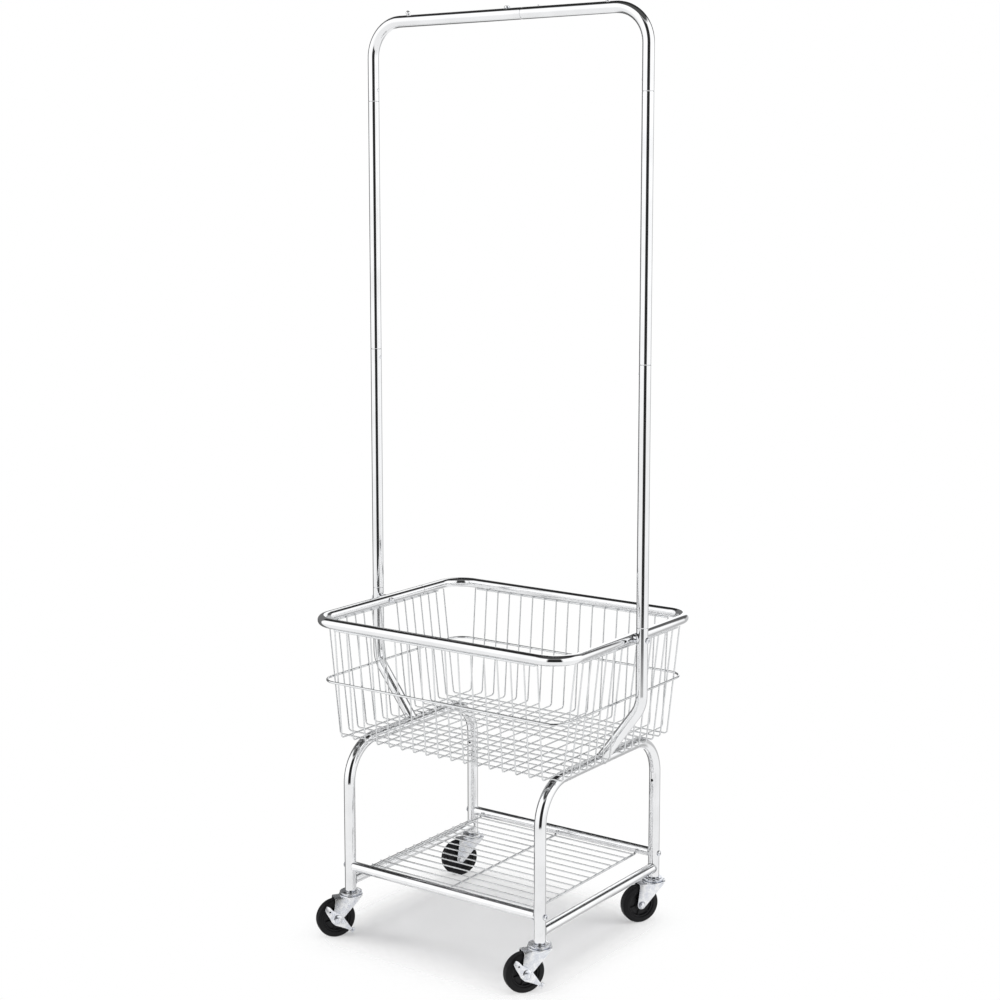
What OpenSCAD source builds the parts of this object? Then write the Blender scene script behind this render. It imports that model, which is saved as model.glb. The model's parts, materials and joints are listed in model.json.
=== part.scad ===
// Rolling laundry cart: tubular end frames on four casters, a wire basket in a tube rim,
// a lower wire shelf and a hanging bar on two plug-in poles. Millimetres, Z up, X along the long side.

/* [Overall] */
// height of the hanging bar's axis above the floor
bar_height = 1741; // [1400:1:2100]
// distance between the leg axes along the long side
leg_span_x = 440; // [360:1:560]
// distance between the leg axes along the short side
leg_span_y = 400; // [320:1:500]
// height of the basket rim's axis
rim_z = 616; // [540:1:760]
// height of the end frames' top runs, under the basket
run_z = 376; // [320:1:460]

/* [Tubes] */
// outside diameter of legs, poles and hanging bar
tube_d = 22; // [19:0.1:26]
// wall of every tube
tube_wall = 1.2; // [1:0.05:1.8]
// outside diameter of the basket rim tube
rim_d = 19; // [16:0.1:22]
// outside diameter of the four lower rails
rail_d = 19; // [16:0.1:22]
// bend radius of the end frames, on the tube's axis
leg_bend_r = 75; // [50:1:100]
// bend radius of the hanging bar, on the tube's axis
bar_bend_r = 65; // [50:1:90]
// length of the hanging bar's upright ends below the bends
bar_drop = 82; // [60:1:120]
// bend radius of the lower poles
pole_bend_r = 60; // [45:1:90]
// lean of the lower poles from upright, below their bend
pole_lean = 37; // [32:1:42]
// height of the lower poles' open ends above the rim's axis
lower_joint_rise = 22; // [18:1:40]
// length of a pole's reduced plug end
plug_length = 30; // [24:1:40]

/* [Rails and shelf] */
// height of the front and back rails' axes
rail_z = 137; // [125:1:180]
// height of the side rails' axes
side_rail_z = 107; // [100:1:120]
// diameter of the shelf's three support wires
support_d = 4.5; // [3.5:0.1:6]
// diameter of the shelf's cross wires
shelf_wire_d = 2.8; // [2:0.1:4]
// number of shelf cross wires
shelf_wires = 14; // [8:1:20]
// pitch of the shelf cross wires
shelf_pitch = 26; // [20:0.5:26]
// distance of the outer support wires from the middle
support_x = 187; // [150:1:200]
// overhang of the cross wires past the outer support wires
shelf_overhang = 5; // [3:0.5:10]

/* [Basket] */
// distance from the middle to the rim's axis, along the long side
rim_half_x = 284.5; // [260:0.5:330]
// distance from the middle to the rim's axis, along the short side
rim_half_y = 229; // [215:0.5:280]
// corner radius of the rim's axis
rim_corner_r = 50; // [40:1:60]
// how far the short sides lean in from rim to floor
taper_x = 25; // [10:0.5:28]
// how far the long sides lean in from rim to floor
taper_y = 17; // [8:0.5:22]
// diameter of the basket's body wires
wire_d = 2.8; // [2.2:0.1:3.4]
// diameter of the straight wires under the rim
edge_wire_d = 4; // [3:0.1:5]
// diameter of the hoop around the basket
hoop_d = 4.5; // [3.5:0.1:6]
// height of the hoop's axis
hoop_z = 500; // [450:1:540]
// number of wires that run front to back
cross_wires = 17; // [11:2:21]
// pitch of the wires that run front to back
cross_pitch = 28.8; // [24:0.1:30]
// wires that run left to right on each side of the pole gap
long_wires = 7; // [4:1:7]
// pitch of the wires that run left to right
long_pitch = 26; // [24:0.1:27]
// bend radius of the body wires at the floor
wire_bend_r = 6; // [4:0.5:10]

/* [Casters] */
// wheel radius
wheel_r = 37.5; // [30:0.5:50]
// tyre width
tyre_w = 19; // [15:0.5:20]
// distance from the swivel axis to the axle
caster_trail = 31; // [26:0.5:36]
// direction in which the wheels trail, measured from +X
caster_angle = 236; // [0:1:360]
// inside width of the fork
fork_inner = 22.6; // [21:0.1:26]
// thickness of the fork's sheet
fork_t = 2; // [1.5:0.1:3]
// gap between wheel and fork top
wheel_gap = 2; // [1.5:0.1:4]
// radius of the swivel race
race_r = 23; // [18:0.5:25]
// radius of the caster stem
stem_r = 5.5; // [4.5:0.1:6]
// radius of the axle bolt
axle_r = 3; // [2.5:0.1:4]
// radius of the wheel's hub disc
hub_r = 26; // [20:0.5:30]

/* [Fits] */
// radial running clearance of axles and stems
run_fit = 0.06; // [0.02:0.01:0.1]
// radial clearance of a plugged or bolted joint
plug_fit = 0.05; // [0.02:0.01:0.1]
// gap at a welded or resting contact inside one body
seat = 0.1; // [0.05:0.01:0.2]
// gap between parts that move past each other
part_gap = 0.4; // [0.3:0.05:1]

/* [Hidden] */
$fn = 64;
tube_r = tube_d / 2;
bore_r = tube_r - tube_wall;
rim_r = rim_d / 2;
rail_r = rail_d / 2;
leg_x = leg_span_x / 2;
leg_y = leg_span_y / 2;
saddle_t = 2;
pole_x = rim_half_x + rim_r + saddle_t + tube_r;
joint_low = rim_z + lower_joint_rise;
joint_top = bar_height - bar_bend_r - bar_drop;
joint_mid = (joint_low + joint_top) / 2;
plug_r = bore_r - plug_fit;
plug_bore_r = plug_r - tube_wall;
low_plug = min(plug_length, lower_joint_rise - 4.5);
button_r = 3;
button_rise = 16;
bar_seam_x = 41.5;
bar_bolt_x = 7;
bar_pin_x = 76;
stop_x = 222;
wire_r = wire_d / 2;
edge_r = edge_wire_d / 2;
hoop_r = hoop_d / 2;
edge_z = rim_z - rim_r - edge_r - seat;
leg_top_x = rim_half_x - edge_r - wire_r - seat;
leg_top_y = rim_half_y - edge_r - wire_r - seat;
leg_low_x = hundredth(leg_top_x - taper_x);
leg_low_y = hundredth(leg_top_y - taper_y);
wire_top_z = edge_z + 1.5;
long_z = run_z + tube_r + wire_r + seat;
cross_z = long_z + wire_d + seat;
lean_x = round(atan(taper_x / (wire_top_z - long_z)) * 10) / 10;
lean_y = round(atan(taper_y / (wire_top_z - cross_z)) * 10) / 10;
hoop_x = hundredth(leg_low_x + (hoop_z - long_z) * tan(lean_x) + (wire_r + hoop_r + seat) / cos(lean_x));
hoop_y = hundredth(leg_low_y + (hoop_z - cross_z) * tan(lean_y) + (wire_r + hoop_r + seat) / cos(lean_y));
hoop_corner_r = 34;
fork_top = 2 * wheel_r + wheel_gap + fork_t;
race_z = fork_top + part_gap;
race_h = 8;
collar_h = 1.5;
leg_bottom = race_z + race_h + collar_h + seat;
fork_half = fork_inner / 2 + fork_t;
lever_y = fork_half + part_gap;
lever_t = 1.8;
boss_h = 2;
lever_reach = wheel_r + 5.5;
support_z = rail_z - 5;
pole_meet_z = run_z + (pole_x - leg_x) / tan(pole_lean);
pole_bend_z = hundredth(pole_meet_z + pole_bend_r * tan(pole_lean / 2));
pole_lean_l = hundredth((pole_x - leg_x) / sin(pole_lean) - pole_bend_r * tan(pole_lean / 2));
pole_floor_x = leg_x + (cross_z - run_z) * tan(pole_lean);
pole_floor_half = tube_r / cos(pole_lean) + wire_r + seat;
corners = [[-1, -1], [1, -1], [-1, 1], [1, 1]];
steel = [0.8, 0.81, 0.82];
zinc = [0.7, 0.71, 0.72];
black = [0.08, 0.08, 0.08];

function hundredth(x) = round(x * 100) / 100;

// half the flat floor run of a basket wire, and the length of its leaning leg
function wire_flat(low, lean) = hundredth(low - wire_bend_r * tan((90 - lean) / 2));
function wire_leg(z_low, lean) = hundredth((wire_top_z - z_low - wire_bend_r * (1 - sin(lean))) / cos(lean));

// a round rod between two points
module rod(a, b, r) {
  d = b - a;
  l = norm(d);
  translate(a) rotate([0, acos(d[2] / l), atan2(d[1], d[0])]) cylinder(h = l, r = r);
}

// part of a torus in the XZ plane, centred on c, from angle a0 through sweep
module elbow(c, bend, r, a0, sweep) {
  translate(c) rotate([90, 0, 0]) rotate([0, 0, a0])
    rotate_extrude(angle = sweep) translate([bend, 0]) circle(r = r);
}

// the same, drawn in the YZ plane
module elbow_yz(c, bend, r, a0, sweep) {
  translate(c) rotate([0, 0, 90]) rotate([90, 0, 0]) rotate([0, 0, a0])
    rotate_extrude(angle = sweep) translate([bend, 0]) circle(r = r);
}

// a tube between two heights on the Z axis, with softened ends
module upright(z0, z1, r) {
  translate([0, 0, z0]) cylinder(h = 0.6, r1 = r - 0.6, r2 = r);
  translate([0, 0, z0 + 0.6]) cylinder(h = z1 - z0 - 1.2, r = r);
  translate([0, 0, z1 - 0.6]) cylinder(h = 0.6, r1 = r, r2 = r - 0.6);
}

// ---- hanging bar and poles ----

module bar_half_solid(r) {
  translate([-pole_x, 0, joint_top + seat]) cylinder(h = bar_drop - seat, r = r);
  elbow([bar_bend_r - pole_x, 0, bar_height - bar_bend_r], bar_bend_r, r, 90, 90);
}

module bar_half(seam) {
  difference() {
    union() {
      bar_half_solid(tube_r);
      rod([bar_bend_r - pole_x, 0, bar_height], [seam, 0, bar_height], tube_r);
    }
    bar_half_solid(bore_r);
    translate([-pole_x, 0, joint_top - 1]) cylinder(h = 3, r = bore_r);
    rod([bar_bend_r - pole_x, 0, bar_height], [seam + 1, 0, bar_height], bore_r);
    translate([-stop_x, 0, bar_height]) cylinder(h = tube_d, r = 2 + plug_fit);
    translate([-pole_x, 0, joint_top + button_rise + 5]) rotate([0, 90, 0]) cylinder(h = tube_d, r = button_r + 0.2);
    translate([bar_bolt_x, 0, bar_height]) cylinder(h = tube_d, r = 2.5 + plug_fit);
    translate([-bar_pin_x, 0, bar_height]) cylinder(h = tube_d, r = 2 + plug_fit);
  }
}

module top_bar_left() {
  color(steel) bar_half(bar_seam_x - seat / 2);
}

module top_bar_right() {
  color(steel) mirror([1, 0, 0]) bar_half(-bar_seam_x - seat / 2);
}

module bar_sleeve() {
  color(steel) difference() {
    rod([bar_bolt_x - 20, 0, bar_height], [bar_pin_x + 20, 0, bar_height], plug_r);
    rod([bar_bolt_x - 21, 0, bar_height], [bar_pin_x + 21, 0, bar_height], plug_bore_r);
    translate([bar_bolt_x, 0, bar_height]) cylinder(h = tube_d, r = 2.5 + plug_fit);
    translate([bar_pin_x, 0, bar_height]) cylinder(h = tube_d, r = 2 + plug_fit);
  }
}

module bar_bolt() {
  color(zinc) translate([bar_bolt_x, 0, bar_height]) {
    translate([0, 0, 4]) cylinder(h = tube_r - 3, r = 2.5);
    translate([0, 0, tube_r + seat]) cylinder(h = 3.2, r = 5.5);
    translate([0, 0, tube_r + seat + 3.2]) cylinder(h = 1, r1 = 5.5, r2 = 4.2);
  }
}

module bar_pin() {
  color(zinc) translate([bar_pin_x, 0, bar_height]) {
    translate([0, 0, 5]) cylinder(h = tube_r - 3.6, r = 2);
    translate([0, 0, tube_r + 1.4]) cylinder(h = 0.8, r1 = 2, r2 = 1.2);
  }
}

module garment_stops() {
  color(steel) for (s = [-1, 1]) translate([s * stop_x, 0, bar_height]) {
    translate([0, 0, 5]) cylinder(h = tube_r - 2, r = 2);
    translate([0, 0, tube_r + 4.3]) sphere(r = 4.2);
  }
}

// a straight pole with a reduced plug at its lower end and, if asked, at its upper end
module pole(z0, z1, plug_up, plug_down) {
  difference() {
    union() {
      upright(z0, z1, tube_r);
      translate([0, 0, z0 - plug_down]) cylinder(h = plug_down + 2, r = plug_r);
      if (plug_up) translate([0, 0, z1 - 2]) cylinder(h = plug_length + 2, r = plug_r);
    }
    translate([0, 0, z0 + 3]) cylinder(h = z1 - z0 - (plug_up ? 6 : 2), r = bore_r);
    translate([0, 0, z0 - plug_down - 1]) cylinder(h = plug_down + 5, r = plug_bore_r);
    if (plug_up) translate([0, 0, z1 - 4]) cylinder(h = plug_length + 5, r = plug_bore_r);
    if (plug_up) translate([0, 0, z1 + button_rise + 5 + seat]) button_hole();
    if (plug_up) translate([0, 0, z0 - button_rise]) button_hole();
    if (!plug_up) translate([0, 0, z1 - button_rise]) button_hole();
  }
}

module button_hole() {
  rotate([0, 90, 0]) cylinder(h = tube_d, r = button_r + 0.2);
}

module upper_pole_left() {
  color(steel) translate([-pole_x, 0, 0]) pole(joint_mid + seat, joint_top, true, plug_length);
}

module upper_pole_right() {
  color(steel) translate([pole_x, 0, 0]) mirror([1, 0, 0]) pole(joint_mid + seat, joint_top, true, plug_length);
}

module middle_pole_left() {
  color(steel) translate([-pole_x, 0, 0]) pole(joint_low + seat, joint_mid, false, low_plug);
}

module middle_pole_right() {
  color(steel) translate([pole_x, 0, 0]) mirror([1, 0, 0]) pole(joint_low + seat, joint_mid, false, low_plug);
}

module snap_buttons() {
  color(zinc) for (s = [-1, 1]) for (z = [joint_mid - button_rise, joint_top + button_rise + 5])
    translate([s * pole_x, 0, z]) rotate([0, -90 * s, 0]) {
      translate([0, 0, plug_bore_r - 3]) cylinder(h = tube_r - plug_bore_r + 3.4, r = button_r);
      translate([0, 0, tube_r + 0.4]) cylinder(h = 1.2, r1 = button_r, r2 = button_r - 1.2);
    }
}

// solid path of a left lower pole: upright, bend and lean down to the end frame's run
module lower_pole_path(r, top) {
  translate([0, 0, pole_bend_z - 0.3]) cylinder(h = top - pole_bend_z + 0.3, r = r);
  translate([pole_bend_r, 0, pole_bend_z]) rotate([90, 0, 0]) rotate([0, 0, 180]) {
    rotate_extrude(angle = pole_lean) translate([pole_bend_r, 0]) circle(r = r + 0.05);
    rotate([0, 0, pole_lean]) translate([pole_bend_r, -0.3, 0]) rotate([-90, 0, 0])
      cylinder(h = pole_lean_l + 0.3, r = r);
  }
}

module lower_pole() {
  difference() {
    lower_pole_path(tube_r, joint_low);
    lower_pole_path(bore_r, joint_low + 1);
    translate([pole_x - leg_x, -tube_d, run_z]) rotate([-90, 0, 0]) cylinder(h = 2 * tube_d, r = tube_r + 0.3);
    translate([-tube_d, 0, rim_z]) rotate([0, 90, 0]) cylinder(h = 2 * tube_d, r = 3 + plug_fit);
  }
}

module lower_pole_left() {
  color(steel) translate([-pole_x, 0, 0]) lower_pole();
}

module lower_pole_right() {
  color(steel) translate([pole_x, 0, 0]) mirror([1, 0, 0]) lower_pole();
}

// ---- end frames and rails ----

module end_frame_path(r, low) {
  for (s = [-1, 1]) translate([0, s * leg_y, low]) cylinder(h = run_z - leg_bend_r - low, r = r);
  rod([0, leg_bend_r - leg_y, run_z], [0, leg_y - leg_bend_r, run_z], r);
  elbow_yz([0, leg_y - leg_bend_r, run_z - leg_bend_r], leg_bend_r, r, 0, 90);
  elbow_yz([0, leg_bend_r - leg_y, run_z - leg_bend_r], leg_bend_r, r, 90, 90);
}

module end_frame() {
  difference() {
    end_frame_path(tube_r, leg_bottom);
    end_frame_path(bore_r, leg_bottom - 1);
    for (s = [-1, 1]) translate([-tube_d, s * leg_y, rail_z]) rotate([0, 90, 0]) cylinder(h = 2 * tube_d, r = 3 + plug_fit);
    for (s = [-1, 1]) translate([0, s * leg_y, run_z - leg_bend_r - 15]) rotate([90 * s, 0, 0]) cylinder(h = tube_d, r = 2.5);
  }
}

module end_frame_left() {
  color(steel) translate([-leg_x, 0, 0]) end_frame();
}

module end_frame_right() {
  color(steel) translate([leg_x, 0, 0]) end_frame();
}

module side_rail() {
  difference() {
    rod([0, -leg_y, side_rail_z], [0, leg_y, side_rail_z], rail_r);
    rod([0, -leg_y - 1, side_rail_z], [0, leg_y + 1, side_rail_z], rail_r - tube_wall);
    for (s = [-1, 1]) translate([0, s * leg_y, side_rail_z - rail_d]) cylinder(h = 2 * rail_d, r = tube_r + seat);
  }
}

module side_rail_left() {
  color(steel) translate([-leg_x, 0, 0]) side_rail();
}

module side_rail_right() {
  color(steel) translate([leg_x, 0, 0]) side_rail();
}

module long_rail() {
  plug_in = leg_x - tube_r - 16;
  difference() {
    rod([-leg_x, 0, rail_z], [leg_x, 0, rail_z], rail_r);
    rod([-plug_in, 0, rail_z], [plug_in, 0, rail_z], rail_r - tube_wall);
    for (s = [-1, 1]) translate([s * leg_x, 0, rail_z - rail_d]) cylinder(h = 2 * rail_d, r = tube_r + seat);
    rod([-leg_x, 0, rail_z], [leg_x, 0, rail_z], 3 + plug_fit);
  }
}

module front_rail() {
  color(steel) translate([0, -leg_y, 0]) long_rail();
}

module back_rail() {
  color(steel) translate([0, leg_y, 0]) long_rail();
}

// a pan-head bolt along +X from the origin, head outside at the origin
module pan_bolt(l) {
  rotate([0, 90, 0]) cylinder(h = l, r = 3);
  translate([-2, 0, 0]) rotate([0, 90, 0]) cylinder(h = 2.05, r = 5.6);
  translate([-3.2, 0, 0]) rotate([0, 90, 0]) cylinder(h = 1.2, r1 = 4, r2 = 5.6);
}

module rail_bolts() {
  color(zinc) for (c = corners) translate([c[0] * leg_x, c[1] * leg_y, rail_z])
    rotate([0, 0, c[0] > 0 ? 180 : 0]) translate([-tube_r - seat, 0, 0]) pan_bolt(tube_d + 14);
}

// ---- basket ----

module ring_path(hx, hy, cr, r) {
  for (s = [-1, 1]) {
    rod([cr - hx, s * hy, 0], [hx - cr, s * hy, 0], r);
    rod([s * hx, cr - hy, 0], [s * hx, hy - cr, 0], r);
  }
  for (q = [0, 1, 2, 3]) {
    sx = (q == 0 || q == 3) ? 1 : -1;
    sy = (q < 2) ? 1 : -1;
    translate([sx * (hx - cr), sy * (hy - cr), 0]) rotate([0, 0, 90 * q])
      rotate_extrude(angle = 90) translate([cr, 0]) circle(r = r);
  }
}

module basket_rim() {
  color(steel) translate([0, 0, rim_z]) difference() {
    ring_path(rim_half_x, rim_half_y, rim_corner_r, rim_r);
    ring_path(rim_half_x, rim_half_y, rim_corner_r, rim_r - tube_wall);
    for (s = [-1, 1]) rod([s * (rim_half_x - rim_d), 0, 0], [s * (rim_half_x + rim_d), 0, 0], 3 + plug_fit);
  }
}

module basket_edge_wires() {
  color(steel) for (s = [-1, 1]) {
    rod([6 + rim_corner_r - rim_half_x, s * rim_half_y, edge_z],
        [rim_half_x - rim_corner_r - 6, s * rim_half_y, edge_z], edge_r);
    rod([s * rim_half_x, 12 + rim_corner_r - rim_half_y, edge_z],
        [s * rim_half_x, rim_half_y - rim_corner_r - 12, edge_z], edge_r);
  }
}

module basket_hoop() {
  color(steel) translate([0, 0, hoop_z]) ring_path(hoop_x, hoop_y, hoop_corner_r, hoop_r);
}

// a wire down one side, across the floor and up the other, in the XZ plane. Its bends are a
// hair thicker than its straight runs, which start inside them
module u_wire(low, z_low, lean, split) {
  flat = wire_flat(low, lean);
  if (split) {
    rod([-flat - 0.3, 0, z_low], [-tube_r - seat, 0, z_low], wire_r);
    rod([tube_r + seat, 0, z_low], [flat + 0.3, 0, z_low], wire_r);
  } else {
    rod([-flat - 0.3, 0, z_low], [flat + 0.3, 0, z_low], wire_r);
  }
  for (s = [0, 1]) mirror([s, 0, 0]) translate([flat, 0, z_low + wire_bend_r]) rotate([90, 0, 0]) rotate([0, 0, -90]) {
    rotate_extrude(angle = 90 - lean) translate([wire_bend_r, 0]) circle(r = wire_r + 0.05);
    rotate([0, 0, 90 - lean]) translate([wire_bend_r, -0.3, 0]) rotate([-90, 0, 0])
      cylinder(h = wire_leg(z_low, lean) + 0.3, r = wire_r);
  }
}

module basket_long_wires() {
  color(steel) for (s = [-1, 1]) for (k = [1 : long_wires])
    translate([0, s * k * long_pitch, 0]) u_wire(leg_low_x, long_z, lean_x, false);
}

module basket_cross_wires() {
  n = (cross_wires - 1) / 2;
  color(steel) for (k = [-n : n]) translate([k * cross_pitch, 0, 0]) rotate([0, 0, 90])
    u_wire(leg_low_y, cross_z, lean_y, abs(abs(k * cross_pitch) - pole_floor_x) < pole_floor_half);
}

module saddle_washers() {
  color(zinc) for (s = [0, 1]) mirror([s, 0, 0]) difference() {
    translate([rim_half_x + 5, 0, rim_z]) rotate([0, 90, 0]) cylinder(h = pole_x - rim_half_x - 10, r = 9);
    rod([rim_half_x, -20, rim_z], [rim_half_x, 20, rim_z], rim_r + seat);
    translate([pole_x, 0, rim_z - 20]) cylinder(h = 40, r = tube_r + seat);
    rod([rim_half_x, 0, rim_z], [pole_x, 0, rim_z], 3 + plug_fit);
  }
}

module rim_bolts() {
  color(zinc) for (s = [0, 1]) mirror([s, 0, 0])
    translate([-pole_x - tube_r - seat, 0, rim_z]) pan_bolt(pole_x + tube_r - rim_half_x + rim_r + 4);
}

module cap_nuts() {
  color(zinc) for (s = [0, 1]) mirror([s, 0, 0]) translate([rim_half_x - rim_r - seat, 0, rim_z]) rotate([0, -90, 0]) difference() {
    union() {
      cylinder(h = 3.4, r = 5.6, $fn = 6);
      translate([0, 0, 3.4]) cylinder(h = 1.6, r = 4.6);
      translate([0, 0, 5]) cylinder(h = 1.6, r1 = 4.6, r2 = 2.6);
    }
    translate([0, 0, -1]) cylinder(h = 5.4, r = 3 + plug_fit);
  }
}

// ---- shelf ----

module shelf_cross_wires() {
  x = support_x + shelf_overhang;
  z = support_z + support_d / 2 + shelf_wire_d / 2 + seat;
  color(steel) for (k = [0 : shelf_wires - 1])
    rod([-x, (k - (shelf_wires - 1) / 2) * shelf_pitch, z], [x, (k - (shelf_wires - 1) / 2) * shelf_pitch, z], shelf_wire_d / 2);
}

module shelf_supports() {
  hook_y = leg_y - rail_r - 11.5;
  r = support_d / 2;
  color(steel) for (x = [-support_x, 0, support_x]) translate([x, 0, 0]) {
    rod([0, -hook_y - 0.3, support_z], [0, hook_y + 0.3, support_z], r);
    for (s = [0, 1]) mirror([0, s, 0]) translate([0, hook_y, support_z + 8])
      rotate([0, 0, 90]) rotate([90, 0, 0]) rotate([0, 0, -90]) {
        rotate_extrude(angle = 60) translate([8, 0]) circle(r = r + 0.05);
        rotate([0, 0, 60]) translate([8, -0.3, 0]) rotate([-90, 0, 0]) cylinder(h = 5.3, r = r);
      }
  }
}

// ---- casters ----

module at_corner(sx, sy) {
  translate([sx * leg_x, sy * leg_y, 0]) children();
}

module at_caster(sx, sy) {
  at_corner(sx, sy) rotate([0, 0, caster_angle]) children();
}

module caster_sockets() {
  color(black) for (c = corners) at_corner(c[0], c[1]) difference() {
    translate([0, 0, leg_bottom + 1]) cylinder(h = 34, r = plug_r);
    translate([0, 0, leg_bottom]) cylinder(h = 36, r = stem_r + run_fit);
  }
}

module caster_stems() {
  color(zinc) for (c = corners) at_corner(c[0], c[1]) {
    translate([0, 0, fork_top - fork_t - 1.7]) cylinder(h = leg_bottom + 30 - fork_top, r = stem_r);
    translate([0, 0, fork_top - fork_t - 1.7]) cylinder(h = 1.4, r = 8);
    translate([0, 0, race_z + race_h + seat]) cylinder(h = collar_h - seat, r = 9);
  }
}

module swivel_races() {
  color(zinc) for (c = corners) at_corner(c[0], c[1]) translate([0, 0, race_z]) difference() {
    union() {
      cylinder(h = 1.6, r = race_r);
      translate([0, 0, 1.6]) cylinder(h = 1, r1 = race_r, r2 = race_r - 1.2);
      translate([0, 0, 2.6]) cylinder(h = race_h - 5.4, r = race_r - 5);
      translate([0, 0, race_h - 2.8]) cylinder(h = 1.2, r = race_r - 1.5);
      translate([0, 0, race_h - 1.6]) cylinder(h = 1.6, r1 = race_r - 1.5, r2 = race_r - 8);
    }
    translate([0, 0, -1]) cylinder(h = race_h + 2, r = stem_r + plug_fit);
  }
}

// side view of a fork cheek: x away from the swivel axis, y up
module cheek_outline() {
  polygon([[-20, fork_top - 1], [-18.5, fork_top], [34, fork_top], [caster_trail + 8.4, wheel_r + 2],
    [caster_trail, wheel_r - 8.4], [caster_trail - 7.4, wheel_r - 4.2]]);
  translate([caster_trail, wheel_r]) circle(r = 8.5);
}

module fork() {
  difference() {
    union() {
      for (s = [-1, 1]) translate([0, s * (fork_half - fork_t / 2) + fork_t / 2, 0]) rotate([90, 0, 0])
        linear_extrude(fork_t) cheek_outline();
      translate([-18.5, -fork_half + 0.5, fork_top - fork_t]) cube([52.5, 2 * fork_half - 1, fork_t]);
      translate([0, 0, fork_top - fork_t]) cylinder(h = fork_t, r = race_r - 2);
    }
    translate([0, 0, fork_top - 10]) cylinder(h = 20, r = stem_r + run_fit);
    translate([caster_trail, 0, wheel_r]) rotate([90, 0, 0]) cylinder(h = 4 * fork_half, r = axle_r + plug_fit, center = true);
  }
}

module tyre() {
  translate([caster_trail, 0, wheel_r]) rotate([90, 0, 0]) difference() {
    union() {
      cylinder(h = tyre_w - 6, r = wheel_r, center = true);
      for (s = [0, 1]) mirror([0, 0, s]) {
        translate([0, 0, tyre_w / 2 - 3]) cylinder(h = 1.5, r1 = wheel_r, r2 = wheel_r - 0.7);
        translate([0, 0, tyre_w / 2 - 1.5]) cylinder(h = 1.5, r1 = wheel_r - 0.7, r2 = wheel_r - 2.8);
      }
    }
    cylinder(h = 2 * tyre_w, r = hub_r + plug_fit, center = true);
  }
}

module hub() {
  translate([caster_trail, 0, wheel_r]) rotate([90, 0, 0]) difference() {
    union() {
      cylinder(h = tyre_w - 3, r = hub_r, center = true);
      cylinder(h = fork_inner - 2 * part_gap, r = 8, center = true);
    }
    for (s = [0, 1]) mirror([0, 0, s]) translate([0, 0, tyre_w / 2 - 4]) difference() {
      cylinder(h = tyre_w, r = hub_r - 3);
      cylinder(h = tyre_w, r = 11);
    }
    cylinder(h = 4 * tyre_w, r = axle_r + run_fit, center = true);
  }
}

module axle(out) {
  translate([caster_trail, out, wheel_r]) rotate([90, 0, 0]) {
    cylinder(h = out + fork_half + 6, r = axle_r);
    translate([0, 0, -3]) cylinder(h = 3.05, r = 5.2, $fn = out > lever_y ? 6 : 64);
    translate([0, 0, -4]) cylinder(h = 1, r1 = 3.4, r2 = 4.4);
  }
}

module axle_nut() {
  translate([caster_trail, -fork_half - seat, wheel_r]) rotate([90, 0, 0]) difference() {
    cylinder(h = 4.6, r = 5.8, $fn = 6);
    translate([0, 0, -1]) cylinder(h = 8, r = axle_r + plug_fit);
  }
}

// side view of a brake lever around its pivot: x to the rear of the wheel, y up
module lever_outline() {
  polygon([[16, 27.5], [20.5, 29.5], [25, 22], [20.5, 12.5], [15.5, 4], [11, -5], [4, -11.5], [-6, -15.5],
    [-17, -20.5], [-24.5, -24.5], [-31, -26.8], [-30, -23], [-25.5, -17.5], [-19.5, -8], [-12, 3], [-3, 11.5], [8, 18]]);
}

module lever() {
  translate([caster_trail, lever_y + lever_t, wheel_r]) rotate([90, 0, 0]) difference() {
    union() {
      linear_extrude(lever_t) lever_outline();
      translate([0, 0, -boss_h]) cylinder(h = boss_h, r1 = 6.5, r2 = 9.5);
      rotate([0, 0, 40]) {
        translate([-lever_reach, -4.5, 0]) cube([8, 9, lever_t]);
        translate([-lever_reach, -4.5, 0]) cube([lever_t, 9, lever_y - 2]);
      }
    }
    translate([0, 0, -5]) cylinder(h = 10, r = axle_r + run_fit);
    translate([14.8, 17, -5]) cylinder(h = 10, r = 1.8);
  }
}

module fork_front_left() {
  color(zinc) at_caster(-1, -1) fork();
}

module fork_front_right() {
  color(zinc) at_caster(1, -1) fork();
}

module fork_back_left() {
  color(zinc) at_caster(-1, 1) fork();
}

module fork_back_right() {
  color(zinc) at_caster(1, 1) fork();
}

module tyre_front_left() {
  color(black) at_caster(-1, -1) tyre();
}

module tyre_front_right() {
  color(black) at_caster(1, -1) tyre();
}

module tyre_back_left() {
  color(black) at_caster(-1, 1) tyre();
}

module tyre_back_right() {
  color(black) at_caster(1, 1) tyre();
}

module hub_front_left() {
  color(black) at_caster(-1, -1) hub();
}

module hub_front_right() {
  color(black) at_caster(1, -1) hub();
}

module hub_back_left() {
  color(black) at_caster(-1, 1) hub();
}

module hub_back_right() {
  color(black) at_caster(1, 1) hub();
}

module axle_front_left() {
  color(zinc) at_caster(-1, -1) axle(lever_y + lever_t + boss_h + part_gap);
}

module axle_front_right() {
  color(zinc) at_caster(1, -1) axle(lever_y + lever_t + boss_h + part_gap);
}

module axle_back_left() {
  color(zinc) at_caster(-1, 1) axle(fork_half + seat);
}

module axle_back_right() {
  color(zinc) at_caster(1, 1) axle(fork_half + seat);
}

module axle_nut_front_left() {
  color(zinc) at_caster(-1, -1) axle_nut();
}

module axle_nut_front_right() {
  color(zinc) at_caster(1, -1) axle_nut();
}

module axle_nut_back_left() {
  color(zinc) at_caster(-1, 1) axle_nut();
}

module axle_nut_back_right() {
  color(zinc) at_caster(1, 1) axle_nut();
}

module brake_lever_front_left() {
  color(zinc) at_caster(-1, -1) lever();
}

module brake_lever_front_right() {
  color(zinc) at_caster(1, -1) lever();
}

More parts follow.
